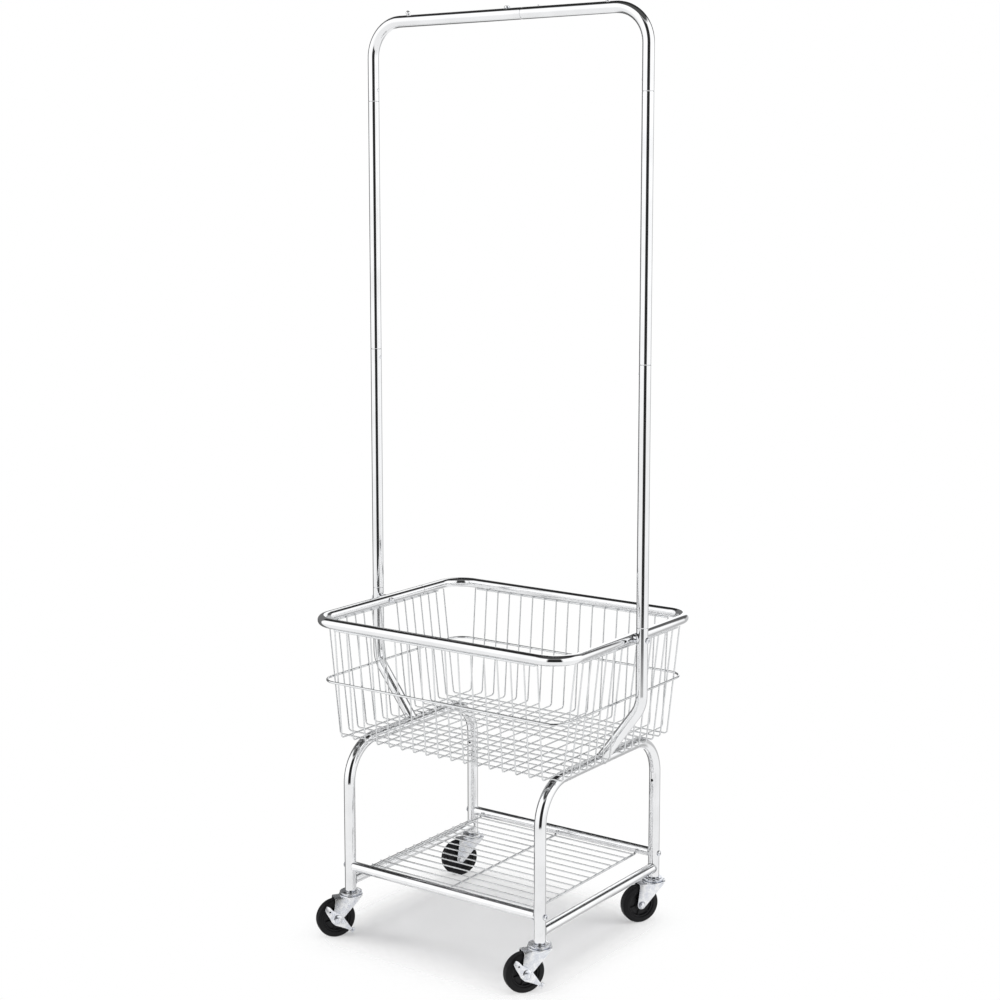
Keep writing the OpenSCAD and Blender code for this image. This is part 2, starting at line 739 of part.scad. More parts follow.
top_bar_left();
top_bar_right();
bar_sleeve();
bar_bolt();
bar_pin();
garment_stops();
upper_pole_left();
upper_pole_right();
middle_pole_left();
middle_pole_right();
lower_pole_left();
lower_pole_right();
snap_buttons();
end_frame_left();
end_frame_right();
side_rail_left();
side_rail_right();
front_rail();
back_rail();
rail_bolts();
rim_bolts();
cap_nuts();
saddle_washers();
basket_rim();
basket_edge_wires();
basket_hoop();
basket_long_wires();
basket_cross_wires();
shelf_cross_wires();
shelf_supports();
caster_sockets();
caster_stems();
swivel_races();
fork_front_left();
fork_front_right();
fork_back_left();
fork_back_right();
tyre_front_left();
tyre_front_right();
tyre_back_left();
tyre_back_right();
hub_front_left();
hub_front_right();
hub_back_left();
hub_back_right();
axle_front_left();
axle_front_right();
axle_back_left();
axle_back_right();
axle_nut_front_left();
axle_nut_front_right();
axle_nut_back_left();
axle_nut_back_right();
brake_lever_front_left();
brake_lever_front_right();
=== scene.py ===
"""Rolling laundry cart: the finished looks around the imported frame."""

import json
import math

import bmesh
import bpy
from bpy.props import FloatProperty, FloatVectorProperty, IntProperty, PointerProperty
from mathutils import Matrix, Vector


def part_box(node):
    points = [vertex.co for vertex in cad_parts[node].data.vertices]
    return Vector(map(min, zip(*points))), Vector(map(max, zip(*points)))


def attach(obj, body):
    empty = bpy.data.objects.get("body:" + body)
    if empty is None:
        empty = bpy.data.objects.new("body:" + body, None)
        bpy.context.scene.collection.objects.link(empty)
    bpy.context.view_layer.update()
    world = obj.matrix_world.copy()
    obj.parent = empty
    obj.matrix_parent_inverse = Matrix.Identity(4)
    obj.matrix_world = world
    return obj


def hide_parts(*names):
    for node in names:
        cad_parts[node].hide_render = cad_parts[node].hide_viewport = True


bl_info = {
    "name": "Rolling laundry cart",
    "version": (1, 0, 0),
    "blender": (4, 5, 0),
    "location": "3D View > Sidebar > Laundry cart",
    "description": "Builds the plated tubes, wire basket, shelf and casters of a laundry cart",
    "category": "Add Mesh",
}

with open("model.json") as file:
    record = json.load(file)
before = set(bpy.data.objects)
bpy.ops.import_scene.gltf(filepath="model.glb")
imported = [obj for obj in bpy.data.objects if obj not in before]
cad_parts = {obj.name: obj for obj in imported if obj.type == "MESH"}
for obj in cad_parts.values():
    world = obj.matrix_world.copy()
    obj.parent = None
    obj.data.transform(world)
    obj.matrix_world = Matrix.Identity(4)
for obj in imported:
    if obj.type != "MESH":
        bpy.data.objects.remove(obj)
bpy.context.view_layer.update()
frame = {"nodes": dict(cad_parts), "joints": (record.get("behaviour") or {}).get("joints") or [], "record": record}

X, Y, Z = Vector((1, 0, 0)), Vector((0, 1, 0)), Vector((0, 0, 1))
CORNERS = {"front_left": (-1, -1), "front_right": (1, -1), "back_left": (-1, 1), "back_right": (1, 1)}


# ---- where things are, read from the frame ----

def low(node, axis):
    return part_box(node)[0][axis]


def high(node, axis):
    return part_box(node)[1][axis]


def middle(node, axis):
    return (low(node, axis) + high(node, axis)) / 2


TUBE_R = (high("end_frame_right", 0) - low("end_frame_right", 0)) / 2
LEG_X = middle("end_frame_right", 0)
LEG_Y = high("end_frame_right", 1) - TUBE_R
LEG_FOOT = low("end_frame_right", 2)
RUN_Z = high("end_frame_right", 2) - TUBE_R
POLE_X = middle("upper_pole_right", 0)
JOINT_LOW = high("lower_pole_right", 2)
JOINT_MID = high("middle_pole_right", 2)
JOINT_TOP = low("top_bar_left", 2)
BAR_Z = high("top_bar_left", 2) - TUBE_R
BAR_SEAM = high("top_bar_left", 0)
RIM_R = (high("basket_rim", 2) - low("basket_rim", 2)) / 2
RIM_X = high("basket_rim", 0) - RIM_R
RIM_Y = high("basket_rim", 1) - RIM_R
RIM_Z = middle("basket_rim", 2)
HOOP_R = (high("basket_hoop", 2) - low("basket_hoop", 2)) / 2
HOOP_X = high("basket_hoop", 0) - HOOP_R
HOOP_Y = high("basket_hoop", 1) - HOOP_R
HOOP_Z = middle("basket_hoop", 2)
EDGE_R = (high("basket_edge_wires", 2) - low("basket_edge_wires", 2)) / 2
EDGE_Z = middle("basket_edge_wires", 2)
RAIL_R = (high("front_rail", 2) - low("front_rail", 2)) / 2
RAIL_Z = middle("front_rail", 2)
SIDE_RAIL_Z = middle("side_rail_left", 2)
SHELF_X = high("shelf_cross_wires", 0)
SHELF_Z = middle("shelf_cross_wires", 2)
SHELF_Y = high("shelf_cross_wires", 1)
WHEEL_R = (high("tyre_front_left", 2) - low("tyre_front_left", 2)) / 2
FORK_TOP = high("fork_front_left", 2)
RACE_LOW = low("swivel_races", 2)
RACE_HIGH = high("swivel_races", 2)
RACE_R = high("swivel_races", 0) - LEG_X
SPIN = [j for j in frame["joints"] if j["name"] == "wheel_front_left_spin"][0]
TRAIL = Vector((SPIN["pos_m"][0] + LEG_X, SPIN["pos_m"][1] + LEG_Y, 0))
TRAIL_TURN = math.atan2(TRAIL.y, TRAIL.x)
TRAIL = TRAIL.length


# ---- sizes and colours ----

def metres(name, about, default):
    return FloatProperty(name=name, description=about, default=default, unit="LENGTH")


def tint(name, about, default):
    return FloatVectorProperty(name=name, description=about, default=default, subtype="COLOR", min=0, max=1)


class CartSizes(bpy.types.PropertyGroup):
    """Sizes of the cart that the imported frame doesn't say on its own"""

    wall: metres("Tube wall", "Wall of every tube", 0.0012)
    leg_bend: metres("Leg bend", "Bend radius of the end frames", 0.075)
    bar_bend: metres("Bar bend", "Bend radius of the hanging bar", 0.065)
    pole_bend: metres("Pole bend", "Bend radius of the lower poles", 0.060)
    pole_lean: FloatProperty(
        name="Pole lean", description="Lean of the lower poles", default=math.radians(37), subtype="ANGLE"
    )
    plug: metres("Plug", "Length of a pole's plug end", 0.030)
    rim_corner: metres("Rim corner", "Corner radius of the rim", 0.050)
    hoop_corner: metres("Hoop corner", "Corner radius of the hoop", 0.034)
    wire: metres("Basket wire", "Diameter of the basket wires", 0.0028)
    wire_bend: metres("Wire bend", "Bend radius of the basket wires", 0.006)
    taper_long: metres("Taper, ends", "Lean of the short sides", 0.025)
    taper_short: metres("Taper, sides", "Lean of the long sides", 0.017)
    across: IntProperty(name="Wires front to back", description="Number of wires front to back", default=17, min=3)
    across_pitch: metres("Pitch across", "Their pitch", 0.0288)
    along: IntProperty(name="Wires left to right", description="On each side of the pole gap", default=7, min=1)
    along_pitch: metres("Pitch along", "Their pitch", 0.026)
    shelf_wires: IntProperty(name="Shelf wires", description="Number of shelf wires", default=14, min=2)
    support: metres("Shelf support", "Diameter of the support wires", 0.0045)
    stop_at: metres("Stops", "Distance of the stops from the middle", 0.222)
    bolt_at: metres("Bar bolt", "Place of the bar's bolt", 0.007)
    pin_at: metres("Bar pin", "Place of the bar's pin", 0.076)


class CartColours(bpy.types.PropertyGroup):
    """Colours of the cart's finishes"""

    chrome: tint("Chrome", "Plated tube", (0.86, 0.865, 0.875))
    wire: tint("Wire", "Plated wire", (0.76, 0.77, 0.78))
    zinc: tint("Zinc", "Zinc-plated steel", (0.86, 0.865, 0.875))
    rubber: tint("Rubber", "Tread and sidewall", (0.006, 0.006, 0.007))
    plastic: tint("Plastic", "Wheel centres and sockets", (0.006, 0.006, 0.007))


class CartStage(bpy.types.PropertyGroup):
    """Floor, light and camera"""

    # The floor shows only in the painted shadow square under the cart, so this colour sets how dark that painted
    # shadow reads.
    floor: tint("Floor", "Colour of the floor", (0.88, 0.88, 0.885))
    lens: FloatProperty(name="Lens", description="Focal length on a 36 mm frame, in mm", default=66.53)
    shift: FloatProperty(name="Shift", description="Vertical shift of the lens", default=-0.042)
    place: FloatVectorProperty(
        name="Camera", description="Where the camera stands", default=(1.9867, -2.8214, 1.4122), subtype="TRANSLATION"
    )
    aim: FloatVectorProperty(
        name="Aim", description="How the camera is turned", default=(math.pi / 2 - 0.1405, 0.0, 0.6156),
        subtype="EULER",
    )
    light: FloatProperty(name="Light", description="Strength of all lights together", default=1.0, min=0)


def sizes():
    return bpy.context.scene.cart_sizes


def colours():
    return bpy.context.scene.cart_colours


# ---- shader nodes ----

class Shade:
    """A value in a shader, written with ordinary arithmetic."""

    def __init__(self, finish, socket):
        self.finish = finish
        self.socket = socket

    def maths(self, operation, *terms):
        return self.finish.node("ShaderNodeMath", {"operation": operation}, dict(enumerate(terms)))

    def __add__(self, other):
        return self.maths("ADD", self, other)

    def __radd__(self, other):
        return self.maths("ADD", other, self)

    def __sub__(self, other):
        return self.maths("SUBTRACT", self, other)

    def __rsub__(self, other):
        return self.maths("SUBTRACT", other, self)

    def __mul__(self, other):
        return self.maths("MULTIPLY", self, other)

    def __rmul__(self, other):
        return self.maths("MULTIPLY", other, self)

    def step(self, lowest, highest):
        """0 below lowest, 1 above highest, smooth between."""
        smooth = {"interpolation_type": "SMOOTHSTEP"}
        return self.finish.node("ShaderNodeMapRange", smooth, {0: self, 1: lowest, 2: highest, 3: 0.0, 4: 1.0})


class Finish:
    """A material and its nodes, or the nodes of the world."""

    def __init__(self, name, world=None):
        self.material = world or bpy.data.materials.new(name)
        self.material.use_nodes = True
        self.tree = self.material.node_tree
        self.shader = self.tree.nodes["Background" if world else "Principled BSDF"]

    def node(self, kind, settings=None, inputs=None, output=0):
        made = self.tree.nodes.new(kind)
        for key, value in (settings or {}).items():
            setattr(made, key, value)
        for key, value in (inputs or {}).items():
            self.join(made.inputs[key], value)
        return Shade(self, made.outputs[output])

    def join(self, socket, value):
        if isinstance(value, Shade):
            self.tree.links.new(value.socket, socket)
        else:
            socket.default_value = value

    def set(self, **values):
        for key, value in values.items():
            self.join(self.shader.inputs[key.replace("_", " ")], value)

    def place(self):
        return self.node("ShaderNodeTexCoord", output="Object")

    def mapped(self, scale=(1, 1, 1), turn=(0, 0, 0)):
        return self.node("ShaderNodeMapping", None, {"Vector": self.place(), "Scale": scale, "Rotation": turn})

    def noise(self, vector, scale, detail=2.0, rough=0.5):
        return self.node(
            "ShaderNodeTexNoise", None, {"Vector": vector, "Scale": scale, "Detail": detail, "Roughness": rough}
        )

    def blend(self, share, a, b):
        made = self.tree.nodes.new("ShaderNodeMix")
        made.data_type = "RGBA"
        self.join(made.inputs[0], share)
        self.join(made.inputs[6], a)
        self.join(made.inputs[7], b)
        return Shade(self, made.outputs[2])

    def vector(self, operation, *terms, output=0):
        return self.node("ShaderNodeVectorMath", {"operation": operation}, dict(enumerate(terms)), output)

    def layer(self, output, share, over):
        """Lays another shader over this one, by a share."""
        mix = self.node("ShaderNodeMixShader", None, {0: share, 1: Shade(self, self.shader.outputs[0]), 2: over})
        self.join(self.tree.nodes[output].inputs[0], mix)

    def bump(self, height, strength, distance):
        return self.node("ShaderNodeBump", None, {"Height": height, "Strength": strength, "Distance": distance})

    def part(self, vector, axis):
        return self.node("ShaderNodeSeparateXYZ", None, {0: vector}, axis)


def rgba(colour, share=1.0):
    return (colour[0] * share, colour[1] * share, colour[2] * share, 1.0)


FINISHES = {}


def plated(name, colour, smooth, haze, scratch):
    """Bright plating: clouded a little, with wipe marks, fine scratches and dust low down."""
    f = Finish(name)
    here = f.place()
    cloud = f.noise(here, 14, 3)
    wipe = f.noise(f.mapped((30, 30, 5)), 3.2, 4, 0.65).step(0.52, 0.72)
    hair = f.noise(f.mapped((900, 900, 18), (0.2, 0.35, 0)), 1, 1).step(0.63, 0.7)
    grain = f.noise(here, 1400, 2)
    wave = f.noise(here, 28, 1)
    dust = f.noise(here, 55, 4).step(0.4, 0.8) * (1 - f.part(here, 2).step(0.05, 0.34))
    f.set(
        Metallic=1.0,
        Base_Color=f.blend(cloud.step(0.35, 0.75) * 0.6 + dust * 0.3, rgba(colour), rgba(colour, 0.86)),
        Roughness=smooth + haze * wipe + 0.03 * hair + 0.08 * dust + 0.02 * cloud,
        Normal=f.bump(wave + grain * 0.02 + hair * scratch * 0.03, 0.05, 0.001),
    )
    return f.material


def zinc(name, colour):
    """Zinc plate on pressed steel: satin, faintly mottled, with rubbed spots."""
    f = Finish(name)
    here = f.place()
    mottle = f.node("ShaderNodeTexVoronoi", None, {"Vector": here, "Scale": 420.0})
    cloud = f.noise(here, 90, 4)
    rub = f.noise(f.mapped((1, 1, 2)), 260, 5, 0.7).step(0.48, 0.72)
    tone = f.blend(cloud.step(0.35, 0.65), rgba(colour), (colour[0] * 0.80, colour[1] * 0.82, colour[2] * 0.87, 1))
    f.set(
        Metallic=1.0,
        Base_Color=f.blend(rub * 0.5, tone, rgba(colour, 1.05)),
        Roughness=0.17 + 0.12 * cloud - 0.06 * rub + 0.05 * mottle,
        Normal=f.bump(mottle * 0.5 + cloud, 0.12, 0.0003),
    )
    return f.material


def weld(name, colour):
    """Weld metal under plating: duller and rippled."""
    f = Finish(name)
    here = f.place()
    ripple = f.noise(here, 700, 3)
    f.set(
        Metallic=1.0,
        Base_Color=f.blend(ripple, rgba(colour, 0.82), rgba(colour, 0.60)),
        Roughness=0.22 + 0.22 * ripple,
        Normal=f.bump(ripple, 0.4, 0.0004),
    )
    return f.material


def rubber(name, colour):
    """Hard black tread: satin, with moulding grain and a little grey floor dust where it rolls."""
    f = Finish(name)
    here = f.place()
    grain = f.noise(here, 1600, 3)
    patch = f.noise(here, 90, 5, 0.65)
    grey = patch.step(0.50, 0.80) * 0.5
    f.set(
        Metallic=0.0,
        Base_Color=f.blend(grey, rgba(colour), (0.020, 0.019, 0.018, 1)),
        Roughness=0.30 + 0.20 * patch + 0.10 * grain,
        Normal=f.bump(grain + patch * 0.3, 0.16, 0.0003),
        Specular_IOR_Level=0.20,
    )
    return f.material


def plastic(name, colour):
    """Moulded black plastic with a fine spark-eroded grain."""
    f = Finish(name)
    here = f.place()
    grain = f.node("ShaderNodeTexVoronoi", None, {"Vector": here, "Scale": 1500.0})
    flow = f.noise(f.mapped((3, 3, 1)), 40, 3)
    f.set(
        Metallic=0.0,
        Base_Color=f.blend(flow, rgba(colour), rgba(colour, 1.9)),
        Roughness=0.30 + 0.14 * flow + 0.06 * grain,
        Normal=f.bump(grain, 0.12, 0.0002),
        Specular_IOR_Level=0.25,
    )
    return f.material


def make_finishes():
    c = colours()
    FINISHES["chrome"] = plated("chrome_plate", c.chrome, 0.055, 0.05, 0.8)
    FINISHES["wire"] = plated("wire_plate", c.wire, 0.12, 0.07, 0.5)
    FINISHES["zinc"] = zinc("zinc_plate", c.zinc)
    FINISHES["weld"] = weld("weld_metal", c.wire)
    FINISHES["tyre"] = rubber("black_rubber", c.rubber)
    FINISHES["hub"] = plastic("black_moulding", c.plastic)
    FINISHES["socket"] = FINISHES["hub"]
    # Painted shade for the insides of holes, made with the black moulding shader.
    FINISHES["dark"] = plastic("hole_shadow", (0.004, 0.004, 0.004))


# ---- drawing tubes, bars and turned pieces ----

def points(geom):
    return [g for g in geom if isinstance(g, bmesh.types.BMVert)]


def everything(bm):
    return bm.verts[:] + bm.edges[:] + bm.faces[:]


def lines_of(verts):
    return list({e for v in verts for e in v.link_edges})


def aimed(at, way):
    """The placement that sends a shape drawn about Z to a place and a direction."""
    return Matrix.Translation(at) @ Z.rotation_difference(way).to_matrix().to_4x4()


class Run:
    """A round section carried along a path, ring by ring, from a closed start to a closed end."""

    hold = 0.0008

    def __init__(self, bm, at, way, radius, around=40, start="cap"):
        self.bm, self.at, self.way = bm, Vector(at), Vector(way).normalized()
        self.radius, self.around = radius, around
        made = bmesh.ops.create_circle(bm, cap_ends=False, segments=around, radius=radius)
        self.verts = made["verts"]
        bmesh.ops.transform(bm, matrix=aimed(self.at, self.way), space=Matrix(), verts=self.verts)
        self.edges = lines_of(self.verts)
        if start == "cap":
            bmesh.ops.contextual_create(bm, geom=self.edges)

    def resize(self, radius):
        share = radius / self.radius
        bmesh.ops.scale(self.bm, vec=(share,) * 3, space=Matrix.Translation(-self.at), verts=self.verts)
        self.radius = radius

    def go(self, distance, radius=None):
        """Straight on to a new radius, with a ring close to each end of a long plain stretch."""
        plain = radius is None or abs(radius - self.radius) < 0.000001
        if plain and abs(distance) > 12 * self.hold:
            hold = math.copysign(self.hold, distance)
            return self.step(hold).step(distance - 2 * hold).step(hold)
        return self.step(distance, radius)

    def step(self, distance, radius=None):
        """One ring further on, by a distance that may be negative, to a new radius if one is given."""
        geom = bmesh.ops.extrude_edge_only(self.bm, edges=self.edges)["geom"]
        self.verts = points(geom)
        fresh = set(self.verts)
        self.edges = [e for e in lines_of(self.verts) if fresh.issuperset(e.verts)]
        bmesh.ops.translate(self.bm, vec=self.way * distance, verts=self.verts)
        self.at = self.at + self.way * distance
        if radius is not None:
            self.resize(radius)
        return self

    def turn(self, angle, bend, toward, steps=10):
        """Round a bend of the given radius, towards a direction."""
        toward = Vector(toward).normalized()
        centre = self.at + toward * bend
        axis = self.way.cross(toward).normalized()
        out = bmesh.ops.spin(
            self.bm, geom=self.verts + self.edges, cent=centre, axis=axis, dvec=(0, 0, 0), angle=angle,
            steps=steps, use_merge=False, use_duplicate=False,
        )["geom_last"]
        self.verts = points(out)
        self.edges = [g for g in out if isinstance(g, bmesh.types.BMEdge)]
        swing = Matrix.Rotation(angle, 3, axis)
        self.at = centre + swing @ (self.at - centre)
        self.way = (swing @ self.way).normalized()
        return self

    def cap(self):
        bmesh.ops.contextual_create(self.bm, geom=self.edges)

    def mouth(self, bore, depth, lip=0.0004):
        """An open tube end: a rounded lip, then the bore, closed far inside."""
        full = self.radius
        self.go(-lip, full)
        self.go(lip * 0.7, full - lip * 0.3).go(lip * 0.3, full - lip)
        self.go(0, bore + lip * 0.5).go(-lip * 0.5, bore).go(-depth, bore).cap()

    def shape(self, *rings):
        """A turned form: (distance, radius) for each ring, measured from where the run is now."""
        gone = 0.0
        for distance, radius in rings:
            self.go(distance - gone, max(radius, 0.00001))
            gone = distance
        return self


def open_start(bm, at, way, radius, bore, depth, around=40, lip=0.0004):
    """A run that starts as an open tube mouth."""
    way = Vector(way).normalized()
    run = Run(bm, Vector(at) + way * (depth + lip * 0.5), way, bore, around)
    run.go(-depth, bore).go(-lip * 0.5, bore + lip * 0.5).go(0, radius - lip)
    return run.go(lip * 0.3, radius - lip * 0.3).go(lip * 0.7, radius)


def rod(bm, a, b, radius, around=10):
    """A cut wire or bar with softened ends."""
    a, b = Vector(a), Vector(b)
    length = (b - a).length
    soft = radius * 0.35
    Run(bm, a, b - a, radius - soft, around).shape(
        (soft * 0.4, radius - soft * 0.3), (soft, radius), (length - soft, radius),
        (length - soft * 0.4, radius - soft * 0.3), (length, radius - soft),
    ).cap()


def turned(bm, at, way, rings, around=32):
    """A turned piece on an axis: rings are (distance, radius)."""
    run = Run(bm, Vector(at) + Vector(way).normalized() * rings[0][0], way, rings[0][1], around)
    run.shape(*[(d - rings[0][0], r) for d, r in rings[1:]]).cap()


def loop(bm, half_x, half_y, corner, z, radius, around=24, steps=10):
    """A closed frame of round bar with four bent corners."""
    run = Run(bm, (0, -half_y, z), X, radius, around, start="open")
    for k in range(4):
        side = (half_x, half_y)[k % 2] - corner
        run.go(side).turn(math.pi / 2, corner, Matrix.Rotation(math.pi / 2, 3, "Z") @ run.way, steps)
        run.go((half_y, half_x)[k % 2] - corner)
    bmesh.ops.remove_doubles(bm, verts=bm.verts, dist=0.00001)


def bead(bm, places, radius, around=8):
    """A closed weld bead along a ring of places."""
    rings = []
    count = len(places)
    for k, place in enumerate(places):
        way = (places[(k + 1) % count] - places[k - 1]).normalized()
        made = bmesh.ops.create_circle(bm, cap_ends=False, segments=around, radius=radius * (1 + 0.10 * (k % 2)))
        bmesh.ops.transform(bm, matrix=aimed(place, way), space=Matrix(), verts=made["verts"])
        rings.append(lines_of(made["verts"]))
    for k in range(count):
        bmesh.ops.bridge_loops(bm, edges=rings[k] + rings[(k + 1) % count])


def tee_bead(bm, centre, along, other, along_r, other_r, radius):
    """The bead where a tube of radius along_r, running along one axis, meets one of other_r across it."""
    side = Vector(along).cross(other)
    places = []
    for k in range(28):
        a = 2 * math.pi * k / 28
        across = along_r * math.cos(a)
        out = math.sqrt(max(other_r ** 2 - across ** 2, 0))
        places.append(Vector(centre) + Vector(along) * out + side * across + Vector(other) * along_r * math.sin(a))
    bead(bm, places, radius)


def outwards(bm):
    """Turns the faces of every closed shell to point out of it."""
    bmesh.ops.recalc_face_normals(bm, faces=bm.faces)
    left = set(bm.faces)
    while left:
        shell, edge = [left.pop()], 0
        while edge < len(shell):
            fresh = {f for e in shell[edge].edges for f in e.link_faces} & left
            left -= fresh
            shell.extend(fresh)
            edge += 1
        inside = 0.0
        for face in shell:
            first, *rest = [v.co for v in face.verts]
            inside += sum(first.dot(a.cross(b)) for a, b in zip(rest, rest[1:]))
        if inside < 0:
            bmesh.ops.reverse_faces(bm, faces=shell)


def finish_piece(name, bm, body, slot, *nodes, sharp=32, material=None):
    """Closes the mesh, gives it its finish and seats it on its body."""
    bmesh.ops.remove_doubles(bm, verts=bm.verts, dist=0.000002)
    outwards(bm)
    mesh = bpy.data.meshes.new(name)
    bm.to_mesh(mesh)
    bm.free()
    mesh.shade_smooth()
    mesh.set_sharp_from_angle(angle=math.radians(sharp))
    piece = bpy.data.objects.new(name, mesh)
    bpy.context.scene.collection.objects.link(piece)
    mesh.materials.append(FINISHES[material or slot])
    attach(piece, body)
    if nodes:
        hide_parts(*nodes)
    return piece


def mirrored_x(bm):
    bmesh.ops.scale(bm, vec=(-1, 1, 1), verts=bm.verts)
    bmesh.ops.reverse_faces(bm, faces=bm.faces)


def bevel_sharp(bm, width, segments=2, least=30):
    """Softens every edge that turns by more than the given angle."""
    edges = [e for e in bm.edges if len(e.link_faces) == 2 and e.calc_face_angle(0) > math.radians(least)]
    bmesh.ops.bevel(
        bm, geom=edges, offset=width, segments=segments, profile=0.5, affect="EDGES", material=-1,
        clamp_overlap=True,
    )


def placed(bm, corner):
    """Moves a caster piece, drawn about the swivel axis with its wheel towards +X, to its corner."""
    sx, sy = CORNERS[corner]
    seat = Matrix.Translation((sx * LEG_X, sy * LEG_Y, 0)) @ Matrix.Rotation(TRAIL_TURN, 4, "Z")
    bmesh.ops.transform(bm, matrix=seat, space=Matrix(), verts=bm.verts)


class Builder:
    """Shared by the operators that build pieces."""

    bl_options = {"REGISTER", "UNDO"}

    def execute(self, context):
        self.build(sizes())
        return {"FINISHED"}


# ---- hanging bar and poles ----

class CART_OT_hanging_bar(Builder, bpy.types.Operator):
    """Two bent halves of the hanging bar, joined near the middle"""

    bl_idname = "cart.hanging_bar"
    bl_label = "Hanging bar"

    def build(self, s):
        bore = TUBE_R - s.wall
        for side, node in ((-1, "top_bar_left"), (1, "top_bar_right")):
            bm = bmesh.new()
            seam = BAR_SEAM if side < 0 else -low("top_bar_right", 0)
            run = open_start(bm, (-POLE_X, 0, JOINT_TOP), Z, TUBE_R, bore, 0.03)
            run.go(BAR_Z - s.bar_bend - run.at.z).turn(math.pi / 2, s.bar_bend, X, 18)
            run.go(seam - run.at.x - 0.0006).go(0.0004, TUBE_R - 0.0002).go(0.0002, TUBE_R - 0.0006).cap()
            if side > 0:
                mirrored_x(bm)
            finish_piece("hanging_bar_" + ("left" if side < 0 else "right"), bm, "frame", "chrome", node)


class CART_OT_bar_fittings(Builder, bpy.types.Operator):
    """The bar's bolt, pin and two ball stops"""

    bl_idname = "cart.bar_fittings"
    bl_label = "Bar fittings"

    def build(self, s):
        top = BAR_Z + TUBE_R
        bm = bmesh.new()
        turned(bm, (s.bolt_at, 0, top), Z, [
            (-0.004, 0.0024), (0.0001, 0.0025), (0.0001, 0.0052), (0.0004, 0.0055), (0.0026, 0.0055),
            (0.0034, 0.0052), (0.0040, 0.0044), (0.0043, 0.0032), (0.0043, 0.0022), (0.0036, 0.0019),
            (0.0036, 0.0002),
        ])
        finish_piece("bar_bolt_cap", bm, "frame", "zinc", "bar_bolt")
        bm = bmesh.new()
        turned(bm, (s.pin_at, 0, top), Z, [
            (-0.004, 0.0019), (-0.0002, 0.002), (0.0012, 0.002), (0.0018, 0.0017), (0.0022, 0.0010),
            (0.00225, 0.0002),
        ], 24)
        finish_piece("bar_pin_tip", bm, "frame", "zinc", "bar_pin")
        bm = bmesh.new()
        ball, lift = 0.0042, TUBE_R + 0.0043
        for side in (-1, 1):
            rings = [(TUBE_R - 0.002, 0.002), (TUBE_R - 0.0002, 0.002), (TUBE_R, 0.0027), (TUBE_R + 0.0004, 0.0022)]
            for k in range(3, 16):
                a = math.pi * k / 16
                rings.append((lift - ball * math.cos(a), ball * math.sin(a)))
            rings.append((lift + ball, 0.0001))
            turned(bm, (side * s.stop_at, 0, BAR_Z), Z, rings)
        finish_piece("ball_stops", bm, "frame", "chrome", "garment_stops", sharp=50)


class CART_OT_poles(Builder, bpy.types.Operator):
    """Upper, middle and bent lower poles with plug ends"""

    bl_idname = "cart.poles"
    bl_label = "Poles"

    def straight(self, bm, z0, z1, bore, plug_up):
        """A pole from its plug below z0 to its top at z1, on the left."""
        plug = bore - 0.00005
        run = Run(bm, (-POLE_X, 0, z0 - 0.012), Z, plug)
        run.go(0.012, plug).go(0, TUBE_R - 0.0009).go(0.0002, TUBE_R - 0.0005).go(0.0005, TUBE_R - 0.0001)
        run.go(0.0006, TUBE_R).go(z1 - z0 - 0.0026, TUBE_R)
        if plug_up:
            run.go(0.0006, TUBE_R - 0.0001).go(0.0005, TUBE_R - 0.0005).go(0.0002, TUBE_R - 0.0009)
            run.go(0, plug).go(0.012, plug).cap()
        else:
            run.go(0.0013, TUBE_R).mouth(bore, 0.03)

    def build(self, s):
        bore = TUBE_R - s.wall
        for side, word in ((-1, "left"), (1, "right")):
            for part, z0, z1, up in (
                ("upper_pole_", JOINT_MID + 0.0001, JOINT_TOP - 0.0001, True),
                ("middle_pole_", JOINT_LOW + 0.0001, JOINT_MID, False),
            ):
                bm = bmesh.new()
                self.straight(bm, z0, z1, bore, up)
                if side > 0:
                    mirrored_x(bm)
                finish_piece(part + word + "_tube", bm, "frame", "chrome", part + word)
            bm = bmesh.new()
            lean, bend = s.pole_lean, s.pole_bend
            meet = RUN_Z + (POLE_X - LEG_X) / math.tan(lean)
            top = JOINT_LOW - meet - bend * math.tan(lean / 2)
            run = open_start(bm, (-POLE_X, 0, JOINT_LOW), -Z, TUBE_R, bore, 0.02)
            run.go(top - (JOINT_LOW - run.at.z)).turn(lean, bend, X, 10)
            run.go((POLE_X - LEG_X) / math.sin(lean) - bend * math.tan(lean / 2) - 0.003).cap()
            if side > 0:
                mirrored_x(bm)
            finish_piece("lower_pole_" + word + "_tube", bm, "frame", "chrome", "lower_pole_" + word)
            bm = bmesh.new()
            down = Vector((math.sin(lean), 0, -math.cos(lean)))
            foot = Vector((-LEG_X, 0, RUN_Z))
            across = down.cross(Y)
            places = []
            for k in range(36):
                a = 2 * math.pi * k / 36
                rise = (TUBE_R + 0.0002) * max(abs(math.sin(a)), 0.12)
                places.append(foot - down * rise + (TUBE_R + 0.0002) * (across * math.cos(a) + Y * math.sin(a)))
            bead(bm, places, 0.0014)
            if side > 0:
                mirrored_x(bm)
            finish_piece("pole_weld_" + word, bm, "frame", "chrome", material="weld", sharp=60)


class CART_OT_snap_buttons(Builder, bpy.types.Operator):
    """Spring buttons in the pole joints"""

    bl_idname = "cart.snap_buttons"
    bl_label = "Snap buttons"

    def build(self, s):
        bm = bmesh.new()
        for side in (-1, 1):
            for z in (JOINT_MID - 0.016, JOINT_TOP + 0.021):
                rings = [(TUBE_R - 0.004, 0.003), (TUBE_R + 0.0003, 0.003)]
                for k in range(1, 7):
                    a = math.pi / 2 * k / 6
                    rings.append((TUBE_R + 0.0003 + 0.0013 * math.sin(a), max(0.003 * math.cos(a), 0.0001)))
                turned(bm, (side * POLE_X, 0, z), -side * X, rings, 28)
        finish_piece("snap_button_domes", bm, "frame", "zinc", "snap_buttons", sharp=50)


# ---- end frames and rails ----

